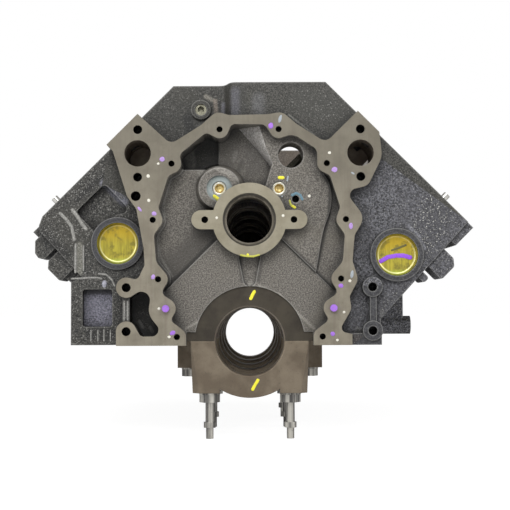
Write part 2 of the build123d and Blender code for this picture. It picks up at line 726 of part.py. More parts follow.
def front_holes():
    """Every round hole that opens in the machined front face."""
    port_x, port_z = PUMP_PORT
    holes = [
        (EXTRA_HOLE, EXTRA_HOLE_RADIUS, PUMP_BOLT_DEPTH),
        (WINDOW, WINDOW_RADIUS, bank_front(LEFT) + END_RAIL_DEPTH),
        (OIL_HOLE, OIL_HOLE_RADIUS, chest_floor() + COVER_BOLT_DEPTH),
    ]
    pairs = [(point, COVER_BOLT_RADIUS, COVER_BOLT_DEPTH) for point in COVER_BOLTS]
    pairs += [(point, SIDE_HOLE_RADIUS, PUMP_BOLT_DEPTH) for point in SIDE_BOSSES]
    for shift in (-PUMP_BOLT_OFFSET, PUMP_BOLT_OFFSET):
        pairs.append(((port_x, port_z + shift), PUMP_BOLT_RADIUS, PUMP_BOLT_DEPTH))
    pairs.append((PUMP_PORT, PUMP_PORT_RADIUS, PUMP_PORT_DEPTH))
    pairs.append(((CAM_EAR_X, CAM_HEIGHT), CAM_EAR_HOLE_RADIUS, COVER_BOLT_DEPTH))
    pairs.append((COVER_DOWEL, COVER_DOWEL_RADIUS, COVER_DOWEL_LENGTH - COVER_DOWEL_PROUD))
    for side in BANKS:
        holes += [(on_side(side, point), radius, depth) for point, radius, depth in pairs]
    return [rod((x, 0, z), (0, 1, 0), radius, depth) for (x, z), radius, depth in holes]


def gallery_face(side):
    """Where the face of an oil gallery's boss lies: the left one is spot-faced into a raised boss."""
    return chest_floor() - GALLERY_BOSS_PROUD if side == LEFT else chest_floor()


def chest_floor():
    """The chest's floor is the same cast wall as the front of the right bank."""
    return bank_front(RIGHT)


def cam_boss():
    """The cam bore's machined boss with an ear for each bolt of the thrust plate."""
    face = disc((0, CAM_HEIGHT), CAM_BOSS_RADIUS)
    for side in BANKS:
        ear = (side * CAM_EAR_REACH, CAM_HEIGHT)
        face += link((0, CAM_HEIGHT), CAM_EAR_RADIUS, ear, CAM_EAR_RADIUS)
    return front_slab(face, 0, FRONT_WALL_BACK)


def gallery_boss():
    """The spot-faced boss round the left gallery, with a sloping flank."""
    length = FRONT_WALL_BACK - gallery_face(LEFT)
    spread = GALLERY_BOSS_RADIUS + LEFT_STEP
    flank = Cone(GALLERY_BOSS_RADIUS, spread, length, align=(Align.CENTER, Align.CENTER, Align.MIN))
    return Plane(origin=(-GALLERY_X, gallery_face(LEFT), GALLERY_HEIGHT), z_dir=(0, 1, 0)) * flank


def chest_cavity():
    """The open room inside the machined face: its floor lies at several levels."""
    room = chest_opening()
    floor = chest_floor()
    _, upper, middle, lower, _ = COVER_BOLTS
    left_start = on_side(LEFT, DIAGONAL_START)
    left_foot = on_side(LEFT, DIAGONAL_FOOT)
    low_floor = outline_of(
        left_start, DIAGONAL_START, DIAGONAL_FOOT, (DIAGONAL_FOOT[0], 0), (left_foot[0], 0), left_foot
    )
    left_floor = outline_of(
        left_start,
        (-GALLERY_X, POCKET_SHELF),
        (-SKIRT_HALF_WIDTH, POCKET_SHELF),
        (-SKIRT_HALF_WIDTH, DIAGONAL_FOOT[1]),
        left_foot,
    )
    strip_edge = Spline(*SIDE_STRIP)
    strip_edge += Polyline(SIDE_STRIP[-1], DIAGONAL_FOOT, lower, middle, upper, SIDE_STRIP[0])
    cuts = [front_slab(room, -1, floor), front_slab(room & low_floor, floor - 1, floor + LOWER_STEP)]
    cuts.append(front_slab(room & make_face(strip_edge), floor - 1, floor + SIDE_STEP))
    cuts.append(front_slab(room & left_floor, floor - 1, floor + LEFT_STEP - CHEST_LEDGE))
    cuts.append(front_slab(offset(room, -CHEST_LEDGE) & left_floor, floor - 1, floor + LEFT_STEP))
    groove = link(
        (0, CAM_HEIGHT - CAM_BOSS_RADIUS), CENTRE_GROOVE_TOP, (0, CENTRE_GROOVE_END), CENTRE_GROOVE_FOOT
    ) - disc((0, CAM_HEIGHT), CAM_BOSS_RADIUS)
    cuts.append(front_slab(groove, floor - 1, floor + CENTRE_GROOVE_DEPTH))
    recess = disc((0, 0), CRANK_RECESS_RADIUS) + outline_of(
        (-CHEST_FOOT, -CRANK_RECESS_STEP),
        (CHEST_FOOT, -CRANK_RECESS_STEP),
        (CHEST_FOOT, CRANK_RECESS_STEP),
        (-CHEST_FOOT, CRANK_RECESS_STEP),
    )
    cuts.append(front_slab(recess, floor - 1, MAIN_FRONT))
    return cuts


def deep_chest_pocket():
    """The chest's upper left corner: behind a sloping step, level with the left bank, then deeper."""
    rest = [
        (-STEP_EDGE[-1][0], CAM_HEIGHT),
        (-GALLERY_X, GALLERY_HEIGHT),
        (-GALLERY_X, POCKET_SHELF),
        (-SKIRT_HALF_WIDTH, POCKET_SHELF),
        (-SKIRT_HALF_WIDTH, STEP_EDGE[0][1]),
    ]
    back = bank_front(LEFT)
    sections = []
    for edge, depth in ((STEP_EDGE, chest_floor() - 1), (STEP_BASE, back)):
        sections.append(Plane.XZ.offset(-depth) * outline_of(*edge, *rest))
    pocket = loft(sections)
    outline = outline_of(
        (POCKET_WALL, POCKET_SHELF),
        (POCKET_WALL, STEP_EDGE[0][1]),
        (-SKIRT_HALF_WIDTH, STEP_EDGE[0][1]),
        (-SKIRT_HALF_WIDTH, POCKET_SHELF),
    )
    pocket += front_slab(outline, back - 1, back + POCKET_DEPTH)
    return pocket & front_slab(chest_opening(), 0, FRONT_WALL_BACK)


def gallery_cuts():
    """The oil galleries' ends, front and rear, with the spot face of the left front one."""
    cuts = []
    for side in BANKS:
        face = gallery_face(side)
        centre = (side * GALLERY_X, face, GALLERY_HEIGHT)
        depth = GALLERY_PLUG_LENGTH + GALLERY_PLUG_RECESS
        spot = GALLERY_SPOT_DEPTH if side == LEFT else 0
        if spot:
            cuts.append(rod(centre, (0, 1, 0), GALLERY_SPOT_RADIUS, spot))
        cuts.append(rod(centre, (0, 1, 0), GALLERY_PLUG_RADIUS, depth + spot))
        rear = (side * GALLERY_X, BLOCK_LENGTH, GALLERY_HEIGHT)
        cuts.append(rod(rear, (0, -1, 0), GALLERY_PLUG_RADIUS, depth))
    return cuts


def core_places():
    """Every core plug's seat, as (node, point on the boss's face, direction out of the block)."""
    places = []
    for side, name in ((RIGHT, "right"), (LEFT, "left")):
        y = bank_front(side) - CORE_BOSS_PROUD
        point = bank_point(side, y, CORE_HEIGHT, FRONT_CORE_ROW[side])
        places.append((f"front_core_plug_{name}", point, Vector(0, -1, 0)))
        outward = Vector(side * COS, 0, -SIN)
        for index in range(CYLINDERS_PER_BANK - 1):
            y = bore_y(side, index) + BORE_SPACING / 2
            point = bank_point(side, y, SIDE_CORE_HEIGHT, -WALL_FOOT - CORE_BOSS_PROUD)
            places.append((f"side_core_plugs_{name}", point, outward))
        y = bank_rear(side) + CORE_BOSS_PROUD
        places.append(("rear_core_plugs", bank_point(side, y, CORE_HEIGHT, REAR_CORE_ROW), Vector(0, 1, 0)))
    return places


def core_boss(point, outward):
    return rod(point - outward * CORE_HOLE_DEPTH, outward, CORE_BOSS_RADIUS, CORE_HOLE_DEPTH)


def core_hole(point, outward):
    return rod(point - outward * CORE_HOLE_DEPTH, outward, CORE_PLUG_RADIUS, CORE_HOLE_DEPTH)


def core_plug(point, outward):
    """A pressed steel cup, open to the outside, just below the face of its boss."""
    mouth = point - outward * CORE_PLUG_RECESS
    back = mouth - outward * CORE_PLUG_LENGTH
    cup = rod(back, outward, CORE_PLUG_RADIUS, CORE_PLUG_LENGTH)
    inside = CORE_PLUG_RADIUS - CORE_PLUG_WALL
    return cup - rod(back + outward * CORE_PLUG_WALL, outward, inside, CORE_PLUG_LENGTH)


def skirt_pockets(side):
    """The hollows above the pan rail between the ribs that back the bulkheads."""
    pockets = []
    corner = skirt_corner_height()
    edge = SKIRT_HALF_WIDTH
    outline = outline_of(
        (side * (edge - SKIRT_POCKET_DEPTH), RAIL_THICKNESS - PAN_RAIL_DROP),
        (side * (edge + SKIRT_POCKET_DEPTH), RAIL_THICKNESS - PAN_RAIL_DROP),
        (side * (edge + SKIRT_POCKET_TOP), SKIRT_POCKET_TOP),
        (side * (edge + SKIRT_POCKET_TOP - corner), SKIRT_POCKET_TOP),
        (side * (edge - SKIRT_POCKET_DEPTH), corner - SKIRT_POCKET_DEPTH),
    )
    for index in range(CYLINDERS_PER_BANK):
        front = main_front(index) + MAIN_THICKNESS - SKIRT_RIB / 2
        back = main_front(index + 1) + SKIRT_RIB / 2
        pockets.append(front_slab(outline, front, back))
    return pockets


def rail_holes(side):
    cuts = []
    x = side * (SKIRT_HALF_WIDTH - RAIL_BOLT_INSET)
    for index in range(2 * CYLINDERS_PER_BANK + 1):
        y = MAIN_FRONT + MAIN_THICKNESS / 2 + index * BORE_SPACING / 2
        cuts.append(rod((x, y, -PAN_RAIL_DROP), (0, 0, 1), RAIL_BOLT_RADIUS, RAIL_BOLT_DEPTH))
    return cuts


def mount_places():
    """An engine mount's three bolts, as (distance from the front, height, how far its boss stands out)."""
    return (
        (MOUNT_CENTRE_Y - MOUNT_HALF_SPACING, MOUNT_FOOT_HEIGHT, MOUNT_FOOT_X),
        (MOUNT_CENTRE_Y + MOUNT_HALF_SPACING, MOUNT_FOOT_HEIGHT, MOUNT_FOOT_X),
        (MOUNT_CENTRE_Y, MOUNT_TOP_HEIGHT, MOUNT_PAD_X),
    )


def mount_bosses(side):
    """The three bosses of an engine mount, each on a web under the bank's overhang."""
    inner = (CRANKCASE_HALF_WIDTH + SKIRT_HALF_WIDTH) / 2
    overhang = MOUNT_PAD_X - SKIRT_HALF_WIDTH + skirt_corner_height()
    bosses = []
    for y, height, face_x in mount_places():
        bosses.append(rod((side * inner, y, height), (side, 0, 0), MOUNT_BOSS_RADIUS, face_x - inner))
        web = outline_of(
            (side * inner, height - MOUNT_WEB_HALF),
            (side * (face_x - MOUNT_WEB_HALF), height - MOUNT_WEB_HALF),
            (side * MOUNT_PAD_X, height + MOUNT_WEB_HALF),
            (side * MOUNT_PAD_X, overhang + MOUNT_WEB_HALF),
            (side * inner, overhang + MOUNT_WEB_HALF),
        )
        bosses.append(front_slab(web, y - MOUNT_WEB_HALF, y + MOUNT_WEB_HALF))
    return bosses


def mount_holes(side):
    cuts = []
    for y, height, face_x in mount_places():
        cuts.append(rod((side * face_x, y, height), (-side, 0, 0), MOUNT_BOLT_RADIUS, MOUNT_BOLT_DEPTH))
    return cuts


def fuel_pump_boss():
    """The box-shaped boss of the fuel pump, low on the left, level with the bank's front."""
    inner = (CRANKCASE_HALF_WIDTH + SKIRT_HALF_WIDTH) / 2
    outline = outline_of(
        (-inner, -PAN_RAIL_DROP),
        (-PUMP_BOSS_X, -PAN_RAIL_DROP),
        (-PUMP_BOSS_X, PUMP_BOSS_TOP),
        (-SKIRT_HALF_WIDTH, PUMP_BOSS_SLOPE_TOP),
        (-inner, PUMP_BOSS_SLOPE_TOP),
    )
    front = bank_front(LEFT)
    boss = front_slab(outline, front, PUMP_BOSS_REAR)
    middle_y = (front + PUMP_WINDOW_DEPTH + PUMP_BOSS_REAR) / 2
    centre = Vector(-PUMP_BOSS_X, middle_y, PUMP_SHAFT_HEIGHT)
    boss -= rod(centre, (1, 0, 0), PUMP_SHAFT_RADIUS, PUMP_BOSS_X - SKIRT_HALF_WIDTH)
    for turn in (-1, 1):
        hole = centre + Vector(0, turn * PUMP_BOLT_RUN, -turn * PUMP_BOLT_DROP)
        boss -= rod(hole, (1, 0, 0), SIDE_HOLE_RADIUS, PUMP_WINDOW_DEPTH)
    return boss


def pump_window():
    """The cored window in the front of the fuel pump's boss."""
    front = bank_front(LEFT)
    window = Pos(PUMP_WINDOW_X, PUMP_WINDOW_HEIGHT) * RectangleRounded(*PUMP_WINDOW, PUMP_WINDOW_CORNER)
    return front_slab(window, front - 1, front + PUMP_WINDOW_DEPTH)


def left_bank_pocket():
    """The lozenge-shaped hollow in the front of the left bank, beside its core plug."""
    front = bank_front(LEFT)
    outline = outline_of(*LEFT_POCKET)
    outline = fillet(outline.vertices(), LEFT_POCKET_CORNER)
    pocket = front_slab(outline, front - 1, front + LEFT_POCKET_DEPTH)
    _, point, outward = core_places()[CYLINDERS_PER_BANK + 1]
    return pocket - core_boss(point, outward)


def wall_plug_axis():
    return Vector(0, -1, 0)


def wall_plug_point():
    """The face of the plug's boss on the valley's front wall."""
    return Vector(WALL_PLUG[0], bank_front(LEFT) - CORE_BOSS_PROUD, WALL_PLUG[1])


def drain_point(side):
    return bank_point(side, DRAIN_PLUG_Y, DRAIN_PLUG_HEIGHT, -WALL_FOOT)


def drain_axis(side):
    return Vector(side * COS, 0, -SIN)


def valley_drains():
    """Slots in the valley floor that let oil back into the bays."""
    cuts = []
    for index in range(CYLINDERS_PER_BANK):
        y = main_front(index) + (MAIN_THICKNESS + BORE_SPACING) / 2
        slot = Pos(0, y) * Rot(0, 0, 90) * SlotOverall(VALLEY_DRAIN_LENGTH, VALLEY_DRAIN_WIDTH)
        cuts.append(extrude(Plane.XY.offset(CAM_HEIGHT) * slot, amount=VALLEY_FLOOR - CAM_HEIGHT + 1))
    return cuts


def flange_cuts():
    cuts = []
    for side in BANKS:
        for x, z in FLANGE_BOLTS:
            start = (side * x, BLOCK_LENGTH, z)
            cuts.append(rod(start, (0, -1, 0), FLANGE_BOLT_RADIUS, FLANGE_THICKNESS))
        start = (side * FLANGE_DOWEL[0], BLOCK_LENGTH, FLANGE_DOWEL[1])
        cuts.append(rod(start, (0, -1, 0), FLANGE_DOWEL_RADIUS, FLANGE_DOWEL_LENGTH - FLANGE_DOWEL_PROUD))
    return cuts


def cap_bolt_cuts():
    cuts = []
    for index in range(BULKHEADS):
        for x, radius, grip in cap_bolt_rows(index):
            for side in BANKS:
                start = (side * x, main_front(index) + main_length(index) / 2, 0)
                cuts.append(rod(start, (0, 0, 1), radius, grip))
    return cuts


def cap_bolt_rows(index):
    """The bolts of one cap, as (distance from the crank's plane, radius, depth in the bulkhead)."""
    rows = [(INNER_BOLT_X, INNER_BOLT_RADIUS, INNER_BOLT_GRIP)]
    if 0 < index < BULKHEADS - 1:
        rows.append((OUTER_BOLT_X, OUTER_BOLT_RADIUS, OUTER_BOLT_GRIP))
    return rows


def block_solids():
    """Everything that adds metal to the casting behind its front face."""
    solids = [*valley_front_walls(), valley_rear_wall(), rear_flange(), fuel_pump_boss()]
    for side in BANKS:
        solids += [crankcase_body(side), bank_body(side), *lifter_bosses(side), *outer_lugs(side)]
        solids += mount_bosses(side)
    solids += [core_boss(point, outward) for _, point, outward in core_places()]
    solids.append(rod(wall_plug_point(), -wall_plug_axis(), WALL_PLUG_BOSS, END_WALL_THICKNESS))
    return solids


def block_holes():
    """Everything that is bored, drilled or cored out of the casting."""
    cuts = deck_trim() + crankcase_bays() + crank_and_cam_bores() + cap_seats() + front_holes()
    for side in BANKS:
        cuts += cylinder_bores(side) + lifter_bores(side) + deck_holes(side) + skirt_pockets(side)
        cuts += rail_holes(side) + mount_holes(side)
        cuts.append(rod(drain_point(side), -drain_axis(side), DRAIN_PLUG_RADIUS, DRAIN_PLUG_LENGTH))
    cuts += [core_hole(point, outward) for _, point, outward in core_places()]
    cuts += [left_bank_pocket(), left_corner_cut(), pump_window(), *gallery_cuts(), *valley_drains()]
    cuts += [*flange_cuts(), *cap_bolt_cuts()]
    cuts.append(rod(wall_plug_point(), -wall_plug_axis(), WALL_PLUG_RADIUS, END_WALL_THICKNESS))
    return cuts


def block_casting():
    block = front_slab(front_outline(), 0, FRONT_WALL_BACK)
    block = block.fuse(foot_bar(), *side_boss_group(RIGHT), *side_boss_group(LEFT), *block_solids())
    block = block.cut(*chest_cavity(), deep_chest_pocket())
    block = block.fuse(cam_boss(), gallery_boss())
    return block.cut(*block_holes())


def main_cap(index):
    """A main bearing cap: flat feet on the bulkhead, a round belly and a pad under each bolt head."""
    y = main_front(index)
    length = main_length(index)
    wide = 0 < index < BULKHEADS - 1
    pad_outer = CAP_CORE_HALF_WIDTH if wide else FRONT_CAP_HALF_WIDTH
    outline = disc((0, 0), CAP_BOTTOM_RADIUS)
    outline -= outline_of(
        (-CAP_BOTTOM_RADIUS, 0),
        (CAP_BOTTOM_RADIUS, 0),
        (CAP_BOTTOM_RADIUS, CAP_BOTTOM_RADIUS),
        (-CAP_BOTTOM_RADIUS, CAP_BOTTOM_RADIUS),
    )
    for side in BANKS:
        outline += outline_of(
            (side * (INNER_BOLT_X - BOLT_FLANGE_RADIUS), 0),
            (side * pad_outer, 0),
            (side * (pad_outer - CAP_TAPER), -CAP_PAD_DROP),
            (side * (INNER_BOLT_X - BOLT_FLANGE_RADIUS), -CAP_PAD_DROP),
        )
        if wide:
            outline += outline_of(
                (side * INNER_BOLT_X, 0),
                (side * WIDE_CAP_HALF_WIDTH, 0),
                (side * WIDE_CAP_HALF_WIDTH, -WIDE_CAP_SHOULDER),
                (side * INNER_BOLT_X, -WIDE_CAP_SHOULDER),
            )
    cap = front_slab(outline, y, y + length)
    for side in BANKS:
        for x, radius, _ in cap_bolt_rows(index):
            cap -= rod((side * x, y + length / 2, -CAP_PAD_DROP), (0, 0, 1), radius, CAP_PAD_DROP)
    cap -= rod((0, y, 0), (0, 1, 0), MAIN_BORE / 2, length)
    cap -= ring_cut((0, y, 0), (0, 1, 0), MAIN_BORE / 2, MAIN_CHAMFER)
    return cap if index else front_cap_bevels(cap)


def front_cap_bevels(cap):
    """The front cap's outer front corners, cut by a plane that widens the bevel downwards."""
    top_x, foot_x = FRONT_CAP_FACE
    for side in BANKS:
        foot = Vector(side * foot_x, MAIN_FRONT, -CAP_PAD_DROP)
        rise = Vector(side * top_x, MAIN_FRONT, 0) - foot
        outward = Vector(side, 1, 0)
        plane = Plane(origin=foot, x_dir=rise, z_dir=rise.cross(outward) * side)
        cap = split(cap, bisect_by=plane, keep=Keep.TOP)
    return cap


def hexagon_bolt(x, y, seat, radius=INNER_BOLT_RADIUS, across_flats=HEX_ACROSS_FLATS, grip=INNER_BOLT_GRIP):
    """A bolt from below: a flanged hexagon head under its seat and a shank up into the bulkhead."""
    head = RegularPolygon(across_flats / 2, 6, major_radius=False)
    base = seat - BOLT_FLANGE_THICKNESS
    bolt = Pos(x, y, base) * Cylinder(
        BOLT_FLANGE_RADIUS * across_flats / HEX_ACROSS_FLATS,
        BOLT_FLANGE_THICKNESS,
        align=(Align.CENTER, Align.CENTER, Align.MIN),
    )
    bolt += extrude(Pos(x, y, base) * head, amount=-HEX_HEIGHT)
    return bolt + rod((x, y, seat), (0, 0, 1), radius, grip - seat)


def stud_bolt(x, y, seat):
    """An inner cap bolt whose head carries a stud for the windage tray: neck, collar and threaded tip."""
    bolt = hexagon_bolt(x, y, seat)
    low = seat - BOLT_FLANGE_THICKNESS - HEX_HEIGHT
    for radius, length in (
        (STUD_NECK_RADIUS, STUD_NECK_LENGTH),
        (STUD_COLLAR_RADIUS, STUD_COLLAR_LENGTH),
        (STUD_TIP_RADIUS, STUD_TIP_LENGTH),
    ):
        bolt += rod((x, y, low), (0, 0, -1), radius, length)
        low -= length
    return bolt


def cap_bolts():
    """All the cap bolts, sorted into the three kinds."""
    studs = []
    inner = []
    outer = []
    with_stud = {(0, LEFT), (0, RIGHT), (1, LEFT), (1, RIGHT), (2, RIGHT)}
    for index in range(BULKHEADS):
        y = main_front(index) + main_length(index) / 2
        for side in BANKS:
            if (index, side) in with_stud:
                studs.append(stud_bolt(side * INNER_BOLT_X, y, -CAP_PAD_DROP))
            else:
                inner.append(hexagon_bolt(side * INNER_BOLT_X, y, -CAP_PAD_DROP))
            if 0 < index < BULKHEADS - 1:
                outer.append(
                    hexagon_bolt(
                        side * OUTER_BOLT_X,
                        y,
                        -WIDE_CAP_SHOULDER,
                        OUTER_BOLT_RADIUS,
                        OUTER_HEX_ACROSS_FLATS,
                        OUTER_BOLT_GRIP,
                    )
                )
    return {"cap_stud_bolts": studs, "inner_cap_bolts": inner, "outer_cap_bolts": outer}


def socket_plug(start, outward, radius, length):
    """A threaded plug that fills its hole, with a hexagon socket in its outer end."""
    plug = rod(start - outward * length, outward, radius, length)
    key = Plane(origin=start, z_dir=-outward) * RegularPolygon(GALLERY_SOCKET, 6)
    return plug - extrude(key, amount=GALLERY_SOCKET_DEPTH)


def gallery_plugs(front):
    plugs = []
    for side in BANKS:
        y = BLOCK_LENGTH - GALLERY_PLUG_RECESS
        outward = Vector(0, 1, 0)
        if front:
            spot = GALLERY_SPOT_DEPTH if side == LEFT else 0
            y = gallery_face(side) + spot + GALLERY_PLUG_RECESS
            outward = Vector(0, -1, 0)
        start = Vector(side * GALLERY_X, y, GALLERY_HEIGHT)
        plugs.append(socket_plug(start, outward, GALLERY_PLUG_RADIUS, GALLERY_PLUG_LENGTH))
    return plugs


def wall_plug():
    start = wall_plug_point() - wall_plug_axis() * GALLERY_PLUG_RECESS
    length = END_WALL_THICKNESS - GALLERY_PLUG_RECESS
    return socket_plug(start, wall_plug_axis(), WALL_PLUG_RADIUS, length)


def drain_plug(side):
    """A hexagon-headed plug low on a bank's outer wall."""
    outward = drain_axis(side)
    seat = drain_point(side)
    plug = rod(seat - outward * DRAIN_PLUG_LENGTH, outward, DRAIN_PLUG_RADIUS, DRAIN_PLUG_LENGTH)
    head = Plane(origin=seat, z_dir=outward) * RegularPolygon(DRAIN_PLUG_HEX, 6)
    return plug + extrude(head, amount=DRAIN_PLUG_HEAD)


def cover_dowels():
    starts = [(side * COVER_DOWEL[0], -COVER_DOWEL_PROUD, COVER_DOWEL[1]) for side in BANKS]
    return [rod(start, (0, 1, 0), COVER_DOWEL_RADIUS, COVER_DOWEL_LENGTH) for start in starts]


def head_dowels(side):
    pins = []
    for y in head_dowel_places(side):
        start = bank_point(side, y, DECK_HEIGHT + HEAD_DOWEL_PROUD - HEAD_DOWEL_LENGTH, HEAD_DOWEL_ROW)
        pins.append(rod(start, bank_axis(side), HEAD_DOWEL_RADIUS, HEAD_DOWEL_LENGTH))
    return pins


def flange_dowels():
    pins = []
    for side in BANKS:
        start = (side * FLANGE_DOWEL[0], BLOCK_LENGTH + FLANGE_DOWEL_PROUD, FLANGE_DOWEL[1])
        pins.append(rod(start, (0, -1, 0), FLANGE_DOWEL_RADIUS, FLANGE_DOWEL_LENGTH))
    return pins


def cam_bearing(index):
    """A thin sleeve pressed into a bulkhead's cam bore."""
    y = main_front(index) + CAM_BEARING_SETBACK if index else CAM_BEARING_SETBACK
    sleeve = rod((0, y, CAM_HEIGHT), (0, 1, 0), CAM_BORE / 2, CAM_BEARING_LENGTH)
    return sleeve - rod((0, y, CAM_HEIGHT), (0, 1, 0), CAM_JOURNAL_BORE / 2, CAM_BEARING_LENGTH)


def rear_cam_plug():
    """The shallow cup that closes the rear end of the cam tunnel."""
    y = BLOCK_LENGTH - CAM_PLUG_DEPTH
    cup = rod((0, y, CAM_HEIGHT), (0, 1, 0), CAM_BORE / 2, CAM_PLUG_DEPTH - CORE_PLUG_RECESS)
    return cup - rod(
        (0, y + CAM_PLUG_THICKNESS, CAM_HEIGHT), (0, 1, 0), CAM_BORE / 2 - CAM_PLUG_THICKNESS, CAM_PLUG_DEPTH
    )


def all_nodes():
    """Each node's name with its solids."""
    nodes = {"block_casting": [block_casting()]}
    names = ["front_main_cap", "main_cap_2", "main_cap_3", "main_cap_4", "rear_main_cap"]
    for index, name in enumerate(names):
        nodes[name] = [main_cap(index)]
    nodes.update(cap_bolts())
    for name, point, outward in core_places():
        nodes.setdefault(name, []).append(core_plug(point, outward))
    nodes["front_gallery_plugs"] = gallery_plugs(True)
    nodes["rear_gallery_plugs"] = gallery_plugs(False)
    nodes["valley_wall_plug"] = [wall_plug()]
    nodes["coolant_drain_plugs"] = [drain_plug(side) for side in BANKS]
    nodes["cover_dowels"] = cover_dowels()
    nodes["head_dowels_right"] = head_dowels(RIGHT)
    nodes["head_dowels_left"] = head_dowels(LEFT)
    nodes["bellhousing_dowels"] = flange_dowels()
    for index in range(BULKHEADS):
        nodes[f"cam_bearing_{index + 1}"] = [cam_bearing(index)]
    nodes["rear_cam_plug"] = [rear_cam_plug()]
    return nodes


for node, pieces in all_nodes().items():
    bodies = [body for piece in pieces for body in piece.solids()]
    export_step(bodies[0] if len(bodies) == 1 else Compound(children=bodies), f"parts/{node}.step")
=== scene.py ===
"""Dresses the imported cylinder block: finishes, small cast forms, paint marks, light and camera."""

import json
import logging
import math
from dataclasses import dataclass
from enum import Enum

import bmesh
import bpy
from mathutils import Euler, Matrix, Vector, noise

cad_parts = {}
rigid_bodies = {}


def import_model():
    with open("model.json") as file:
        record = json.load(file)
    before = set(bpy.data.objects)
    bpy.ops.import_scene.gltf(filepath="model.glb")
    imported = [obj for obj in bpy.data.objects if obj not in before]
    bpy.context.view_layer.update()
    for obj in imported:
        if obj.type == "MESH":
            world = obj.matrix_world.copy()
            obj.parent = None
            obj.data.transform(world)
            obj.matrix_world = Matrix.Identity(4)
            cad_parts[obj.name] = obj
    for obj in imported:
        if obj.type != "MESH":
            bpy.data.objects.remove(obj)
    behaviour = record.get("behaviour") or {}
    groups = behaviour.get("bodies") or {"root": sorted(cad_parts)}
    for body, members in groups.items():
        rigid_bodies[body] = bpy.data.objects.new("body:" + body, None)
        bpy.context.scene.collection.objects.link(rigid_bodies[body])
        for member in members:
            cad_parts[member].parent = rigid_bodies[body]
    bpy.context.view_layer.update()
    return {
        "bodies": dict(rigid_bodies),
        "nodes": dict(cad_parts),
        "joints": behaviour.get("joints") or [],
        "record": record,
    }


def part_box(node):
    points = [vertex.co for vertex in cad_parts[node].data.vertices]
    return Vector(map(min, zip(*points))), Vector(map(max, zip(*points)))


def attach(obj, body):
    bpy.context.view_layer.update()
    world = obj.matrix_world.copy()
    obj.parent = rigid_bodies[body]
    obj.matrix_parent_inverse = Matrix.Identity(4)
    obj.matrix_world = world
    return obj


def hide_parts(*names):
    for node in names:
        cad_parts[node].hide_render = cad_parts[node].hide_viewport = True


LOG = logging.getLogger("cylinder_block")
MM = 0.001
ROOT_BODY = "root"

CAM_HEIGHT = 130.87
CYLINDER_RADIUS = 53.975
CYLINDER_PLACES = {1: (83.82, 206.76, 329.70, 452.64), -1: (104.12, 227.06, 350.00, 472.94)}
DECK_HEIGHT = 259.08
RAIL_HEIGHT = 282.6
BLOCK_LENGTH = 571.5
CHEST_FLOOR = 11.62
CAP_FRONT = 16.0
PAN_RAIL = -4.2
RIGHT_BANK_FRONT = 11.62
LEFT_BANK_FRONT = 31.92
GALLERY_PLACE = (32.5, 165.8)
COOLANT_PORT = (120.3, 202.9)
ALONG_BLOCK = Vector((0, 1, 0))
FACING = 0.99
OPEN_ENDED = (-math.inf, math.inf)
DEEP_SHADE = (0.004, 0.004, 0.004)
JET = (0.006, 0.006, 0.006)
# Painted shade tones for lines along creases, steps and grooves.
CREASE_SHADE = (0.012, 0.011, 0.010)
STRIP_SHADE = (0.014, 0.013, 0.012)
GROOVE_SHADE = (0.030, 0.028, 0.025)
# Painted highlight tones for lit rims and lips.
RIM_HIGHLIGHT = (0.300, 0.285, 0.255)
LIP_HIGHLIGHT = (0.360, 0.340, 0.300)
LIT_CURL = (0.26, 0.26, 0.29)
STONES = (0.040, 0.040, 0.044)
WHITE = (1.0, 1.0, 1.0, 1.0)
Point = tuple[float, float]
Triple = tuple[float, float, float]
Tone = Triple
LEFT_RIM_LINE = (
    (-84.5, 182.4), (-93.3, 150.3), (-92.4, 136.1), (-99.7, 113.6), (-98.1, 92.8), (-84.5, 70.8),
)
COVER_OUTLINE = (
    (0.0, 239.5), (31.9, 232.0), (50.0, 228.0), (83.8, 193.0), (97.0, 173.0), (104.0, 150.0),
    (104.0, 131.0), (108.0, 110.0), (106.0, 91.0), (98.2, 67.0), (99.0, 47.0), (90.0, 35.5),
    (91.0, 24.0), (78.0, 5.1), (78.0, -4.5),
)


class Signal:
    """A shader socket that takes part in arithmetic."""

    def __init__(self, graph: "ShaderGraph", socket: bpy.types.NodeSocket) -> None:
        """Wraps a socket of a graph."""
        self.graph = graph
        self.socket = socket

    def _math(self, operation: str, first: "Signal | float", second: "Signal | float") -> "Signal":
        """Adds one Math node.

        Args:
            operation: the node's operation.
            first: its first value.
            second: its second value.

        Returns:
            The node's result.
        """
        return self.graph.node("ShaderNodeMath", {"operation": operation}, {0: first, 1: second})

    def __add__(self, other: "Signal | float") -> "Signal":
        """self + other."""
        return self._math("ADD", self, other)

    def __radd__(self, other: float) -> "Signal":
        """other + self."""
        return self._math("ADD", other, self)

    def __sub__(self, other: "Signal | float") -> "Signal":
        """self - other."""
        return self._math("SUBTRACT", self, other)

    def __mul__(self, other: "Signal | float") -> "Signal":
        """self * other."""
        return self._math("MULTIPLY", self, other)

    def __rmul__(self, other: float) -> "Signal":
        """other * self."""
        return self._math("MULTIPLY", other, self)

    def power(self, exponent: float) -> "Signal":
        """self to a power."""
        return self._math("POWER", self, exponent)

    def larger(self, other: "Signal") -> "Signal":
        """The larger of two values."""
        return self._math("MAXIMUM", self, other)

    def between(self, low: float, high: float) -> "Signal":
        """self, kept between two numbers."""
        return self._math("MAXIMUM", self._math("MINIMUM", self, high), low)

    def ramp(self, low: float, high: float, start: float = 0.0, end: float = 1.0) -> "Signal":
        """Maps a range to another one, smoothly and without overshoot.

        Args:
            low: the value that becomes start.
            high: the value that becomes end.
            start: the result at and below low.
            end: the result at and above high.

        Returns:
            The mapped value.
        """
        return self.graph.node(
            "ShaderNodeMapRange",
            {"interpolation_type": "SMOOTHSTEP"},
            {0: self, 1: low, 2: high, 3: start, 4: end},
        )


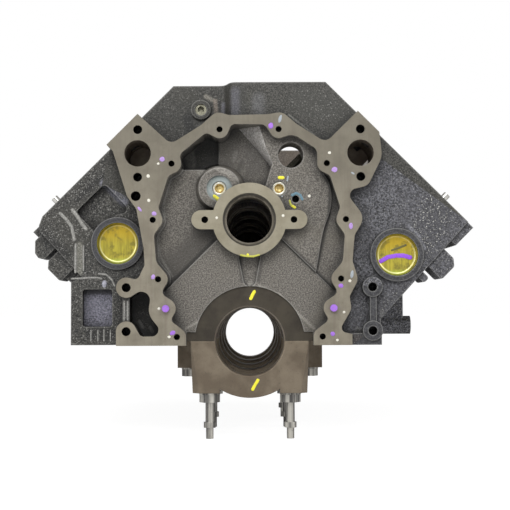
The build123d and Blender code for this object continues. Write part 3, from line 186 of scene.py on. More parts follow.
class ShaderGraph:
    """The nodes of a material or of the world, with one method that adds any node."""

    def __init__(self, name: str, owner: bpy.types.World | None = None) -> None:
        """Starts empty nodes.

        Args:
            name: the name of the material that is made where there is no owner.
            owner: what the nodes belong to, if it isn't a material.
        """
        self.owner = owner or bpy.data.materials.new(name)
        self.owner.use_nodes = True
        self.tree = self.owner.node_tree
        self.tree.nodes.clear()

    def node(
        self,
        kind: str,
        settings: dict[str, object] | None = None,
        inputs: dict[str | int, object] | None = None,
        output: str | int = 0,
    ) -> Signal:
        """Adds a node.

        Args:
            kind: the node's type.
            settings: its attributes, set before the sockets.
            inputs: a value or a Signal for each socket, by name or number.
            output: the socket that is returned.

        Returns:
            The chosen output.
        """
        made = self.tree.nodes.new(kind)
        for key, value in (settings or {}).items():
            setattr(made, key, value)
        for key, value in (inputs or {}).items():
            if isinstance(value, Signal):
                self.tree.links.new(value.socket, made.inputs[key])
            else:
                made.inputs[key].default_value = value
        return Signal(self, made.outputs[output] if made.outputs else None)

    def coordinates(self) -> Signal:
        """The object's own coordinates, in metres."""
        return self.node("ShaderNodeTexCoord", output="Object")

    def stretched(self, vector: Signal, scale: Triple) -> Signal:
        """Coordinates scaled along each axis."""
        return self.node("ShaderNodeMapping", {}, {"Vector": vector, "Scale": scale})

    def grain(self, vector: Signal, size: float, detail: float = 2.0, roughness: float = 0.5) -> Signal:
        """Cloudy noise.

        Args:
            vector: where it is read.
            size: the size of its blotches in millimetres.
            detail: how many finer layers it has.
            roughness: how strong those layers are.

        Returns:
            A value about 0.5.
        """
        return self.node(
            "ShaderNodeTexNoise",
            {},
            {"Vector": vector, "Scale": 1.0 / (size * MM), "Detail": detail, "Roughness": roughness},
        )

    def pebbles(self, vector: Signal, size: float) -> Signal:
        """Rounded cells, as the sand leaves them: 0 at a cell's middle and up to 1 between cells."""
        return self.node(
            "ShaderNodeTexVoronoi",
            {"feature": "SMOOTH_F1"},
            {"Vector": vector, "Scale": 1.0 / (size * MM), "Smoothness": 0.6},
        )

    def blend(self, amount: "Signal | float", first: object, second: object) -> Signal:
        """Mixes two colours.

        Args:
            amount: 0 for the first, 1 for the second.
            first: a colour or a Signal.
            second: a colour or a Signal.

        Returns:
            The mixed colour.
        """
        pick = {"data_type": "RGBA", "clamp_factor": True}
        return self.node("ShaderNodeMix", pick, {0: amount, 6: _rgba(first), 7: _rgba(second)}, output=2)

    def soft_edges(self, radius: float) -> Signal:
        """A normal that rounds the edges of hard-edged solids, by a radius in millimetres."""
        return self.node("ShaderNodeBevel", {"samples": 6}, {"Radius": radius * MM})

    def bump(self, height: Signal, depth: float, normal: Signal | None = None) -> Signal:
        """Relief from a height.

        Args:
            height: the relief, from 0 to 1.
            depth: how deep it is, in millimetres.
            normal: the normal that it is laid on.

        Returns:
            The new normal.
        """
        inputs = {"Height": height, "Distance": depth * MM, "Strength": 1.0}
        if normal:
            inputs["Normal"] = normal
        return self.node("ShaderNodeBump", {}, inputs)

    def crevices(self, reach: float) -> Signal:
        """How open a place is, from 0 in a deep corner to 1 in the open, over a reach in millimetres."""
        return self.node("ShaderNodeAmbientOcclusion", {"samples": 6}, {"Distance": reach * MM}, output="AO")

    def rims(self, reach: float) -> Signal:
        """How near a sharp outer edge a place is, from 0 to 1, over a reach in millimetres."""
        settings = {"samples": 6, "inside": True}
        depth = self.node("ShaderNodeAmbientOcclusion", settings, {"Distance": reach * MM}, output="AO")
        return depth.ramp(0.62, 0.95, 1.0, 0.0)

    def seen_from_front(self, vector: Signal) -> tuple[Signal, Signal]:
        """The coordinates across and up, in millimetres."""
        across = self.node("ShaderNodeSeparateXYZ", {}, {"Vector": vector}, output="X")
        up = self.node("ShaderNodeSeparateXYZ", {}, {"Vector": vector}, output="Z")
        return across * 1000.0, up * 1000.0

    def near(self, vector: Signal, touch: "Touch") -> Signal:
        """How near a place is to a touch's line, seen from the front.

        Args:
            vector: where it is read.
            touch: the line, its width and its softness.

        Returns:
            1 on the line, falling to 0 at its soft border.
        """
        across, up = self.seen_from_front(vector)
        (start_x, start_z), (end_x, end_z) = touch.start, touch.end or touch.start
        run_x, run_z = end_x - start_x, end_z - start_z
        from_x, from_z = across - start_x, up - start_z
        length = run_x * run_x + run_z * run_z
        if length:
            along = ((from_x * run_x + from_z * run_z) * (1.0 / length)).between(0.0, 1.0)
            from_x, from_z = from_x - along * run_x, from_z - along * run_z
        distance = (from_x * from_x + from_z * from_z).power(0.5)
        return distance.ramp(touch.width, touch.width + touch.soft, 1.0, 0.0)

    def surface(
        self, tone: Signal, roughness: Signal, metallic: float = 0.0, normal: Signal | None = None
    ) -> bpy.types.Material:
        """Ends the graph in a Principled shader.

        Args:
            tone: its base colour.
            roughness: from 0 for a mirror to 1.
            metallic: how much of it is bare metal.
            normal: its relief.

        Returns:
            The finished material.
        """
        inputs = {"Base Color": tone, "Roughness": roughness, "Metallic": metallic}
        if normal:
            inputs["Normal"] = normal
        return self.close(self.node("ShaderNodeBsdfPrincipled", {}, inputs))

    def close(self, shader: Signal, output: str = "ShaderNodeOutputMaterial") -> bpy.types.Material:
        """Links a shader to the output and returns what the nodes belong to."""
        self.node(output, {}, {"Surface": shader})
        return self.owner


def _rgba(colour: object) -> object:
    """A colour with its alpha, or a Signal as it is."""
    if isinstance(colour, Signal):
        return colour
    return (*colour, 1.0)


def _darker(tone: Tone, share: float) -> Tone:
    """A tone at a share of its brightness."""
    return tuple(share * part for part in tone)


@dataclass(frozen=True)
class Touch:
    """A line or spot of another tone on a finish, in millimetres across and up, seen from the front; many
    are painted highlights and painted shade.
    """

    tone: Tone
    start: Point
    end: Point | None = None
    width: float = 0.5
    soft: float = 2.0
    strength: float = 0.8


def _strokes(
    tone: Tone, points: tuple[Point, ...], width: float, soft: float, strength: float
) -> tuple[Touch, ...]:
    """The touches that follow a line of points."""
    return tuple(Touch(tone, start, end, width, soft, strength) for start, end in zip(points, points[1:]))


@dataclass(frozen=True)
class CastFinish:
    """Sand-cast iron, bare or under thin dark paint."""

    name: str
    dark: Tone
    light: Tone
    dust: Tone
    sheen: float = 0.42
    relief: float = 0.55
    edge: float = 1.8
    glints: float = 0.5
    grit: float = 1.9
    glint: Tone = (0.50, 0.49, 0.46)
    # Strength of a painted highlight along sharp outer edges, in the glint tone.
    edge_highlight: float = 0.35
    shadow: float = 0.22
    metallic: float = 0.25
    blotch_size: float = 46.0
    lump_size: float = 9.0
    pebble_size: float = 2.6
    stone_size: float = 3.0
    glint_size: float = 1.3
    crevice_reach: float = 16.0
    rim_reach: float = 1.6
    coarse: tuple[Touch, ...] = ()
    touches: tuple[Touch, ...] = ()

    def material(self) -> bpy.types.Material:
        """Builds it."""
        graph = ShaderGraph(self.name)
        here = graph.coordinates()
        broad = graph.grain(here, self.blotch_size, 2.0)
        lumps = graph.grain(here, self.lump_size, 2.0, 0.6)
        sand = graph.grain(here, self.grit, 3.0, 0.65)
        cells = graph.pebbles(here, self.pebble_size)
        height = lumps * 0.42 + sand * 0.38 + cells * 0.34
        shade = graph.crevices(self.crevice_reach).ramp(0.25, 0.95, self.shadow, 1.0)
        tone = graph.blend(sand.ramp(0.36, 0.68), self.dark, self.light)
        tone = graph.blend(broad.ramp(0.42, 0.7, 0.0, 0.45), tone, self.dust)
        glints = graph.grain(here, self.glint_size, 1.0).ramp(0.60, 0.70, 0.0, self.glints)
        for touch in self.coarse:
            mask = graph.near(here, touch)
            stones = graph.pebbles(here, self.stone_size).ramp(0.12, 0.34, 1.0, 0.0)
            height = height + mask * stones * 0.8
            glints = glints + mask * stones * touch.strength
            tone = graph.blend(mask * 0.5, tone, touch.tone)
        speckle = sand.ramp(0.34, 0.62, 0.45, 1.0)
        for touch in self.touches:
            tone = graph.blend(graph.near(here, touch) * speckle * touch.strength, tone, touch.tone)
        tone = graph.blend(glints * shade, tone, self.glint)
        # Painted highlight along sharp outer edges.
        tone = graph.blend(graph.rims(self.rim_reach) * self.edge_highlight, tone, self.glint)
        tone = graph.blend(shade, DEEP_SHADE, tone)
        normal = graph.bump(height, self.relief, graph.soft_edges(self.edge))
        return graph.surface(tone, self.sheen + 0.22 * sand - 0.18 * glints, self.metallic, normal)


@dataclass(frozen=True)
class MachinedFinish:
    """Milled or bored iron: flat, with fine tool marks and a light oil stain."""

    name: str
    bright: Tone
    stain: Tone
    marks: Triple = (1.0, 1.0, 1.0)
    roughness: float = 0.42
    metallic: float = 0.55
    edge: float = 0.5
    top_shade: float = 0.0
    cloud_size: float = 26.0
    speck_size: float = 1.5
    line_size: float = 0.9
    relief: float = 0.02
    shaded_heights: Point = (110.0, 205.0)

    def material(self) -> bpy.types.Material:
        """Builds it."""
        graph = ShaderGraph(self.name)
        here = graph.coordinates()
        cloud = graph.grain(here, self.cloud_size, 4.0, 0.6)
        specks = graph.grain(here, self.speck_size)
        lines = graph.grain(graph.stretched(here, self.marks), self.line_size, 1.0)
        tone = graph.blend(cloud.ramp(0.34, 0.68), self.bright, self.stain)
        if self.top_shade:
            _, up = graph.seen_from_front(here)
            brushed = graph.grain(graph.stretched(here, (1.0, 1.0, 0.06)), 4.0, 3.0, 0.6)
            tone = graph.blend(brushed.ramp(0.46, 0.70, 0.0, 0.30), tone, (0.125, 0.098, 0.080))
            shaded = up.ramp(*self.shaded_heights, 0.0, self.top_shade)
            tone = graph.blend(shaded, tone, (0.085, 0.076, 0.056))
        tone = graph.blend(specks.ramp(0.64, 0.74, 0.0, 0.45), tone, (0.05, 0.045, 0.04))
        normal = graph.bump(lines * 0.7 + specks * 0.3, self.relief, graph.soft_edges(self.edge))
        roughness = self.roughness + 0.2 * (cloud - 0.5) + 0.1 * lines
        return graph.surface(tone, roughness, self.metallic, normal)


@dataclass(frozen=True)
class PlatedFinish:
    """Plated or plain steel of a fastener, plug or dowel."""

    name: str
    tone: Tone
    worn: Tone
    roughness: float = 0.3
    metallic: float = 0.9
    streak: Triple = (1.0, 1.0, 0.15)
    edge: float = 0.5
    streak_size: float = 5.0
    spot_size: float = 3.2
    relief: float = 0.03

    def material(self) -> bpy.types.Material:
        """Builds it."""
        graph = ShaderGraph(self.name)
        here = graph.coordinates()
        streaks = graph.grain(graph.stretched(here, self.streak), self.streak_size, 3.0, 0.6)
        spots = graph.grain(here, self.spot_size)
        tone = graph.blend(streaks.ramp(0.35, 0.7), self.tone, self.worn)
        tone = graph.blend(spots.ramp(0.64, 0.78, 0.0, 0.5), tone, _darker(self.tone, 0.35))
        normal = graph.bump(spots, self.relief, graph.soft_edges(self.edge))
        return graph.surface(tone, self.roughness + 0.25 * (streaks - 0.4), self.metallic, normal)


@dataclass(frozen=True)
class PaintFinish:
    """An inspector's paint pen."""

    name: str
    tone: Tone

    def material(self) -> bpy.types.Material:
        """Builds it."""
        graph = ShaderGraph(self.name)
        wear = graph.grain(graph.coordinates(), 1.6, 2.0)
        tone = graph.blend(wear.ramp(0.4, 0.75, 0.0, 0.35), self.tone, _darker(self.tone, 0.6))
        return graph.surface(tone, 0.45 + 0.1 * wear)


class BlockFinish(Enum):
    """The finishes of the casting's surfaces, in the order of its material slots."""

    LEFT_PAINT = CastFinish(
        "black_painted_casting", JET, (0.078, 0.075, 0.066), (0.036, 0.034, 0.027), relief=1.2,
        glints=0.34, grit=2.0, edge_highlight=0.16,
        touches=(
            # Painted highlight on the strip between the pocket's upper edge and the pad.
            Touch((0.26, 0.26, 0.31), (-160, 175), (-139, 154), 2.6, 4.5, 0.75),
            Touch((0.22, 0.215, 0.18), (-187.5, 106), (-187.5, 76), 2.4, 2.6, 0.6),
            Touch(DEEP_SHADE, (-182, 103), (-182, 77), 0.6, 1.8, 0.9),
            Touch(JET, (-228, 116), (-205, 96), 3.0, 9.0, 0.7),
            Touch(JET, (-174, 8), (-154, 8), 4.0, 5.0, 0.8),
            # Painted shade along the upper edges of the lozenge pocket.
            Touch(JET, (-190, 156), (-164, 182), 0.8, 4.0, 0.75),
            Touch(JET, (-163, 180), (-141, 158), 0.6, 3.0, 0.75),
            # Painted shade: a dark dot for a small hole.
            Touch(JET, (-189.5, 27.5), None, 1.0, 1.2, 0.95),
        ),
    )
    RIGHT_PAINT = CastFinish(
        "grey_painted_casting", (0.010, 0.010, 0.012), (0.130, 0.130, 0.145), (0.062, 0.061, 0.068),
        relief=1.5, glints=0.34, grit=2.2, edge_highlight=0.16, shadow=0.12,
        coarse=(
            Touch(STONES, (205, 146), (186, 98), 9.0, 16.0, 0.85),
            Touch(STONES, (170, 50), (150, 34), 5.0, 10.0, 0.40),
        ),
        touches=(
            Touch(LIT_CURL, (174, 123.5), (183.5, 112.7), 0.8, 2.6, 0.65),
            Touch(LIT_CURL, (183.5, 112.7), (190, 100), 0.8, 2.4, 0.55),
            # Painted shade in the groove beside the machined belt.
            Touch((0.030, 0.030, 0.034), (122, 142), (126, 90), 3.0, 7.0, 0.6),
            Touch((0.24, 0.235, 0.22), (143, 32), (143, 14), 0.6, 3.0, 0.35),
            Touch((0.22, 0.215, 0.20), (117, 12), (128, 8), 1.2, 3.4, 0.45),
            Touch((0.035, 0.028, 0.022), (96, 2), (128, 2), 4.0, 6.0, 0.85),
        ),
    )
    BOSS_RING = CastFinish(
        "smooth_boss_casting", (0.020, 0.020, 0.022), (0.060, 0.060, 0.065), (0.040, 0.040, 0.044),
        sheen=0.36, relief=0.20, glints=0.08, edge_highlight=0.22,
    )
    CHEST = CastFinish(
        "grey_chest_casting", (0.057, 0.051, 0.043), (0.200, 0.185, 0.163), (0.125, 0.113, 0.090),
        sheen=0.46, relief=0.26, edge=3.0, glints=0.12, grit=1.4, edge_highlight=0.30, shadow=0.10,
        touches=(
            # Painted shade along the left diagonal step and over the floor above it.
            Touch(CREASE_SHADE, (-39.4, 109.5), (-81.0, 68.0), 0.6, 2.8, 0.85),
            Touch((0.045, 0.041, 0.036), (-52.0, 112.0), (-92.0, 74.0), 4.0, 18.0, 0.75),
            # Painted shade and a painted highlight round the small hump above the cam boss.
            Touch((0.050, 0.046, 0.042), (-22.0, 222.0), (-24.0, 205.0), 9.0, 12.0, 0.60),
            Touch((0.200, 0.192, 0.175), (-14.5, 208.0), (-17.0, 200.0), 0.8, 3.0, 0.55),
            Touch((0.020, 0.018, 0.016), (-8.0, 197.0), (-12.0, 188.0), 1.0, 3.5, 0.60),
            # Painted shade along the step down to the deeper left floor.
            Touch((0.052, 0.048, 0.044), (3.0, 214.0), (4.0, 190.0), 5.0, 9.0, 0.60),
            # Painted shade along the right diagonal step and the curved step beside it.
            Touch(CREASE_SHADE, (37.9, 108.5), (93.2, 54.5), 0.6, 2.8, 0.85),
            *_strokes(STRIP_SHADE, ((79.5, 183), (88.2, 166.7), (86.4, 136), (73.4, 81)), 0.5, 2.6, 0.85),
            # Painted highlights along the left rim of the chest and over the top of the left gallery boss.
            *_strokes(RIM_HIGHLIGHT, LEFT_RIM_LINE, 0.3, 1.8, 0.5),
            *_strokes(RIM_HIGHLIGHT, ((-54.0, 184.0), (-36.0, 189.5), (-12.0, 176.0)), 1.2, 3.5, 0.5),
            # Painted shade on both edges of the groove below the cam boss.
            Touch(GROOVE_SHADE, (-12.0, 97.0), (-8.0, 66.0), 0.8, 3.0, 0.7),
            Touch(GROOVE_SHADE, (14.0, 97.0), (9.5, 66.0), 0.8, 3.0, 0.7),
            # Painted highlights along the lip of the crank recess.
            Touch((0.330, 0.315, 0.285), (1.6, 61.0), None, 2.8, 2.6, 0.5),
            *_strokes(LIP_HIGHLIGHT, ((9.8, 60.5), (32.6, 50.5), (49.0, 33.0)), 0.3, 1.8, 0.5),
            Touch(LIP_HIGHLIGHT, (49.0, 33.0), (69.5, 13.5), 0.3, 2.2, 0.5),
            Touch(LIP_HIGHLIGHT, (-56.5, 21.0), (-69.5, 13.5), 0.3, 2.2, 0.5),
        ),
    )
    # Painted light: a lighter copy of the chest casting for the slope that the light falls on.
    LIT_CHEST_SLOPE = CastFinish(
        "lit_chest_slope", (0.250, 0.238, 0.222), (0.520, 0.500, 0.480), (0.350, 0.334, 0.312),
        sheen=0.42, relief=0.22, edge=3.0, glints=0.1, shadow=0.25,
    )
    # Painted shade: near-black casting for the deep chest pocket and the side opening.
    SHADED_POCKET = CastFinish(
        "shaded_pocket_casting", (0.004, 0.004, 0.003), (0.019, 0.017, 0.013), (0.010, 0.009, 0.007),
        relief=0.4, edge=2.0, glints=0.1, edge_highlight=0.15,
        # Painted highlight on a lit facet in the pocket.
        touches=(Touch((0.11, 0.105, 0.095), (-67, 211), (-65, 196), 3.5, 4.0, 0.75),),
    )
    FRONT_WALL = CastFinish(
        "dark_grey_casting", (0.011, 0.011, 0.009), (0.074, 0.071, 0.063), (0.039, 0.037, 0.028),
        sheen=0.42, relief=0.5, edge=2.4, glints=0.16, grit=1.5, edge_highlight=0.2,
        coarse=(Touch((0.040, 0.040, 0.036), (62, 262), (98, 250), 8.0, 16.0, 0.22),),
        touches=(
            Touch((0.022, 0.021, 0.018), (-100, 236), (-52, 268), 10.0, 22.0, 0.5),
            # Painted highlights and painted shade on the wall's shallow vertical undulations.
            Touch((0.11, 0.11, 0.14), (-15, 272), (-15, 240), 1.5, 7.0, 0.5),
            Touch((0.025, 0.025, 0.023), (-6, 276), (-6, 240), 2.0, 4.0, 0.55),
            Touch((0.13, 0.13, 0.135), (10.5, 264), (10, 238), 2.0, 9.0, 0.55),
            # Painted shade in the hollow left of the wall plug.
            Touch((0.008, 0.008, 0.008), (-68, 246), (-65, 232), 3.0, 5.0, 0.85),
            # Painted highlights and painted shade on the curved wall beside the wall plug.
            Touch((0.28, 0.26, 0.22), (-48, 271), (-41, 267), 0.8, 3.0, 0.55),
            Touch((0.27, 0.22, 0.18), (-37.5, 266), (-36.5, 252), 0.9, 2.6, 0.6),
            Touch((0.010, 0.008, 0.010), (-32.5, 264), (-31.5, 252), 0.8, 2.4, 0.7),
            Touch((0.15, 0.15, 0.18), (-28.5, 262), (-28.5, 250), 0.8, 2.4, 0.55),
            Touch((0.32, 0.32, 0.29), (43.7, 246.5), (70.7, 224.5), 0.2, 1.5, 0.45),
        ),
    )
    INSIDE = CastFinish(
        "bare_inner_casting", (0.060, 0.048, 0.038), (0.140, 0.120, 0.100), (0.110, 0.084, 0.060),
        sheen=0.5, relief=0.35, edge=2.0, glints=0.05,
        touches=(Touch((0.34, 0.32, 0.25), (45, 200), (62, 225), 12.0, 14.0, 0.85),),
    )
    MACHINED = MachinedFinish(
        "milled_front_face", (0.218, 0.196, 0.150), (0.155, 0.137, 0.102), metallic=0.2, top_shade=0.5
    )
    BOSS_FACE = MachinedFinish("milled_boss_face", (0.285, 0.260, 0.195), (0.222, 0.198, 0.142))
    SPOTFACE = MachinedFinish("cut_spotface", (0.32, 0.36, 0.36), (0.20, 0.23, 0.22), roughness=0.34)
    DECK = MachinedFinish("milled_deck", (0.42, 0.41, 0.39), (0.33, 0.31, 0.28), (1.0, 40.0, 1.0), 0.3)
    BORED = MachinedFinish("bored_iron", (0.20, 0.172, 0.138), (0.120, 0.095, 0.072), (1.0, 30.0, 1.0), 0.4)
    HONED = MachinedFinish("honed_bore", (0.50, 0.49, 0.47), (0.42, 0.40, 0.37), roughness=0.28)
    # Painted shade: machined iron darkened for the recessed crank face.
    SHADED_CRANK_FACE = MachinedFinish("shaded_milled_crank_face", (0.056, 0.047, 0.034), (0.033, 0.027, 0.020))
    CAM_BORED = MachinedFinish("shaded_cam_bore", (0.060, 0.054, 0.042), (0.038, 0.033, 0.025), metallic=0.3)


@dataclass(frozen=True)
class Zone:
    """A box of places, in millimetres across, along and up."""

    across: Point = OPEN_ENDED
    along: Point = OPEN_ENDED
    up: Point = OPEN_ENDED

    def holds(self, place: Vector) -> bool:
        """Does a place lie inside it?"""
        spans = (self.across, self.along, self.up)
        return all(low < value < high for value, (low, high) in zip(place, spans))


@dataclass
class BlockCasting:
    """The cylinder block itself: its surfaces are told apart by where they lie."""

    node: str = "block_casting"
    tolerance: float = 0.25
    cam_boss: float = 41.0
    cam_ear: Point = (64.0, 11.0)
    spotface: float = 14.6
    spot_limit: float = 16.0
    spot_facing: float = 0.95
    deck_facing: float = 0.69
    deck_sum: float = 366.0
    crank_face: float = 72.0
    main_wall: Point = (36.5, 39.0)
    cam_wall: Point = (24.0, 29.0)
    cylinder_slack: float = 0.8
    port_wall: float = 14.6
    chest_back: float = 46.0
    slope_facing: float = -0.25
    core_boss: float = 31.0
    core_bosses: tuple[Triple, ...] = (
        (159.8, 92.9, RIGHT_BANK_FRONT - 0.5),
        (-145.2, 107.5, LEFT_BANK_FRONT - 0.5),
    )
    pocket: Zone = Zone(across=(-math.inf, -33.0), along=(22.0, math.inf), up=(184.0, math.inf))
    slope: Zone = Zone(across=(-12.0, 24.0), along=(11.0, math.inf), up=(190.0, math.inf))
    crankcase: Zone = Zone(across=(-112.5, 112.5), along=(48.0, 546.0), up=(-math.inf, 160.0))
    valley: Zone = Zone(across=(-126.0, 126.0), along=(43.0, 520.0), up=(170.0, 270.0))
    front_wall: Zone = Zone(along=(-math.inf, 60.0), up=(176.0, math.inf))
    side_gap: Zone = Zone(across=(-131.0, -95.0), along=(5.0, 60.0), up=(-math.inf, 50.0))
    side_bosses: Zone = Zone((118.0, math.inf), (-math.inf, RIGHT_BANK_FRONT - 0.5), (-math.inf, 60.0))

    def dress(self, frame: dict[str, object]) -> None:
        """Gives each face its finish.
        """
        mesh = frame["nodes"][self.node].data
        order = list(BlockFinish)
        mesh.materials.clear()
        for finish in order:
            mesh.materials.append(finish.value.material())
        counts = {finish: 0 for finish in order}
        for face in mesh.polygons:
            corners = [mesh.vertices[index].co / MM for index in face.vertices]
            finish = self.finish_of(face.center / MM, face.normal, corners)
            face.material_index = order.index(finish)
            counts[finish] += 1
        LOG.info("%s: %s", self.node, {finish.name: count for finish, count in counts.items()})

    def finish_of(self, centre: Vector, normal: Vector, corners: list[Vector]) -> BlockFinish:
        """Picks a face's finish from its place and direction.

        Args:
            centre: the face's middle, in millimetres.
            normal: its direction.
            corners: its corners, in millimetres.

        Returns:
            The finish.
        """
        faces_front = normal.y < -FACING
        if faces_front and abs(centre.y) < self.tolerance:
            return BlockFinish.BOSS_FACE if self._on_cam_boss(centre) else BlockFinish.MACHINED
        if normal.y < -self.spot_facing and centre.y < self.spot_limit and self._by_left_plug(centre):
            return BlockFinish.SPOTFACE
        if self._is_milled(centre, normal):
            return BlockFinish.DECK
        # Painted shade: the recessed crank face gets darkened machined iron.
        if faces_front and abs(centre.y - CAP_FRONT) < self.tolerance and centre.xz.length < self.crank_face:
            return BlockFinish.SHADED_CRANK_FACE
        if self._in_cylinder(corners):
            return BlockFinish.HONED
        if self._in_long_bore(corners, (0.0, 0.0), self.main_wall):
            return BlockFinish.BORED
        if self._in_long_bore(corners, (0.0, CAM_HEIGHT), self.cam_wall):
            return BlockFinish.CAM_BORED
        port = (math.copysign(COOLANT_PORT[0], centre.x), COOLANT_PORT[1])
        if self._in_long_bore(corners, port, (-math.inf, self.port_wall)):
            return BlockFinish.BORED
        if centre.y < self.chest_back and self._inside_cover(centre):
            return self._in_chest(centre, normal)
        if self.crankcase.holds(centre) or self.valley.holds(centre):
            return BlockFinish.INSIDE
        if self.front_wall.holds(centre) and abs(centre.x) + centre.z < self.deck_sum:
            return BlockFinish.FRONT_WALL
        # Painted shade: the side opening gets the near-black pocket finish.
        if self.side_gap.holds(centre):
            return BlockFinish.SHADED_POCKET
        if self._on_front_boss(centre):
            return BlockFinish.BOSS_RING
        return BlockFinish.LEFT_PAINT if centre.x < 0 else BlockFinish.RIGHT_PAINT

    def _in_chest(self, centre: Vector, normal: Vector) -> BlockFinish:
        """Picks a finish inside the timing chest."""
        # Painted shade in the deep pocket.
        if self.pocket.holds(centre):
            return BlockFinish.SHADED_POCKET
        # Painted light on the slope that the light falls on.
        if self.slope.holds(centre) and normal.x < self.slope_facing:
            return BlockFinish.LIT_CHEST_SLOPE
        return BlockFinish.CHEST

    def _on_cam_boss(self, centre: Vector) -> bool:
        """Does a place on the front face lie on the cam boss or one of its ears?"""
        on_ear = abs(centre.x) < self.cam_ear[0] and abs(centre.z - CAM_HEIGHT) < self.cam_ear[1]
        return on_ear or math.hypot(centre.x, centre.z - CAM_HEIGHT) < self.cam_boss

    def _on_front_boss(self, centre: Vector) -> bool:
        """Does it lie on the boss round a front core plug, or on a set-back bolt boss of the right side?"""
        for x, z, front in self.core_bosses:
            if math.hypot(centre.x - x, centre.z - z) < self.core_boss and centre.y < front:
                return True
        return self.side_bosses.holds(centre)

    def _by_left_plug(self, centre: Vector) -> bool:
        """Does it lie on the spotface round the left gallery plug?"""
        return math.hypot(centre.x + GALLERY_PLACE[0], centre.z - GALLERY_PLACE[1]) < self.spotface

    def _is_milled(self, centre: Vector, normal: Vector) -> bool:
        """Is it a deck, the top of a valley end wall, the rear face or the pan rail?"""
        from_crank = (abs(centre.x) + centre.z) * math.sqrt(0.5)
        return (
            (normal.z > self.deck_facing and abs(from_crank - DECK_HEIGHT) < self.tolerance)
            or (normal.z > FACING and abs(centre.z - RAIL_HEIGHT) < self.tolerance)
            or (normal.y > FACING and centre.y > BLOCK_LENGTH - self.tolerance)
            or (normal.z < -FACING and PAN_RAIL - self.tolerance < centre.z < self.tolerance)
        )

    def _in_cylinder(self, corners: list[Vector]) -> bool:
        """Do all its corners lie on a cylinder's wall?"""
        side = 1 if corners[0].x > 0 else -1
        axis = Vector((side * math.sqrt(0.5), 0, math.sqrt(0.5)))
        for place in CYLINDER_PLACES[side]:
            distances = [self._from_axis(corner, Vector((0, place, 0)), axis) for corner in corners]
            if all(abs(distance - CYLINDER_RADIUS) < self.cylinder_slack for distance in distances):
                return True
        return False

    def _in_long_bore(self, corners: list[Vector], place: Point, span: Point) -> bool:
        """Do all its corners lie on a bore along the block?

        Args:
            corners: the face's corners.
            place: where the bore's axis is, across and up.
            span: the least and the greatest distance from it.

        Returns:
            Whether they do.
        """
        start = Vector((place[0], 0, place[1]))
        return all(span[0] < self._from_axis(corner, start, ALONG_BLOCK) < span[1] for corner in corners)

    @staticmethod
    def _from_axis(point: Vector, start: Vector, axis: Vector) -> float:
        """The distance of a point from an axis."""
        along = (point - start).dot(axis)
        return (point - start - axis * along).length

    @staticmethod
    def _inside_cover(centre: Vector) -> bool:
        """Does it lie in the timing chest, seen from the front?"""
        inside = False
        ring = [*COVER_OUTLINE, *[(-x, z) for x, z in reversed(COVER_OUTLINE)]]
        for (x0, z0), (x1, z1) in zip(ring, [*ring[1:], ring[0]]):
            crosses = (z0 > centre.z) != (z1 > centre.z)
            if crosses and centre.x < x0 + (centre.z - z0) * (x1 - x0) / (z1 - z0):
                inside = not inside
        return inside


CAP_FINISH = MachinedFinish("ground_cap_iron", (0.190, 0.155, 0.112), (0.120, 0.094, 0.066), edge=1.2)
BOLT_FINISH = PlatedFinish(
    "oiled_bolt_steel", (0.075, 0.072, 0.070), (0.55, 0.53, 0.48), 0.30, 0.8, (1.0, 1.0, 0.02)
)
YELLOW_FINISH = PlatedFinish("yellow_plated_cup", (0.66, 0.58, 0.035), (0.46, 0.42, 0.05), roughness=0.28)
PLUG_FINISH = PlatedFinish("plain_steel_plug", (0.62, 0.57, 0.42), (0.46, 0.42, 0.30), roughness=0.3)
DOWEL_FINISH = PlatedFinish("ground_dowel_steel", (0.62, 0.61, 0.58), (0.44, 0.43, 0.40), roughness=0.26)
BEARING_FINISH = PlatedFinish("bearing_metal", (0.110, 0.096, 0.072), (0.200, 0.176, 0.138), 0.42, 0.4)
WALL_PLUG_FINISH = PlatedFinish("stained_wall_plug", (0.14, 0.135, 0.10), (0.27, 0.26, 0.20), roughness=0.36)
NODE_FINISHES = {
    CAP_FINISH: ("front_main_cap", *(f"main_cap_{number}" for number in (2, 3, 4)), "rear_main_cap"),
    BOLT_FINISH: ("cap_stud_bolts", "inner_cap_bolts", "outer_cap_bolts"),
    YELLOW_FINISH: (
        "front_core_plug_right", "front_core_plug_left", "side_core_plugs_right", "side_core_plugs_left",
        "rear_core_plugs",
    ),
    PLUG_FINISH: ("front_gallery_plugs", "rear_gallery_plugs", "coolant_drain_plugs"),
    DOWEL_FINISH: ("head_dowels_right", "head_dowels_left", "bellhousing_dowels"),
    WALL_PLUG_FINISH: ("valley_wall_plug",),
    BEARING_FINISH: (*(f"cam_bearing_{number}" for number in range(1, 6)), "rear_cam_plug"),
}


class PenColour(Enum):
    """The inspector's pens."""

    PURPLE = PaintFinish("purple_pen", (0.30, 0.13, 0.57))
    VIOLET = PaintFinish("violet_pen", (0.25, 0.07, 0.64))
    PALE_PURPLE = PaintFinish("worn_purple_pen", (0.38, 0.24, 0.56))
    WHITE = PaintFinish("white_pen", (0.66, 0.64, 0.56))
    YELLOW = PaintFinish("yellow_pen", (0.74, 0.68, 0.03))
    OLIVE = PaintFinish("worn_yellow_pen", (0.42, 0.42, 0.06))
    BLUE = PaintFinish("layout_blue", (0.10, 0.19, 0.24))
    PALE_BLUE = PaintFinish("worn_layout_blue", (0.30, 0.33, 0.36))
    OIL = PaintFinish("oil_smear", (0.10, 0.09, 0.02))


@dataclass(frozen=True)
class PenMark:
    """One dab of paint on a surface that faces the front, in millimetres."""

    x: float
    z: float
    width: float = 2.2
    height: float = 2.2
    depth: float = 0.0
    turn: float = 0.0

    def marks(self) -> tuple["PenMark", ...]:
        """The one dab that it is."""
        return (self,)


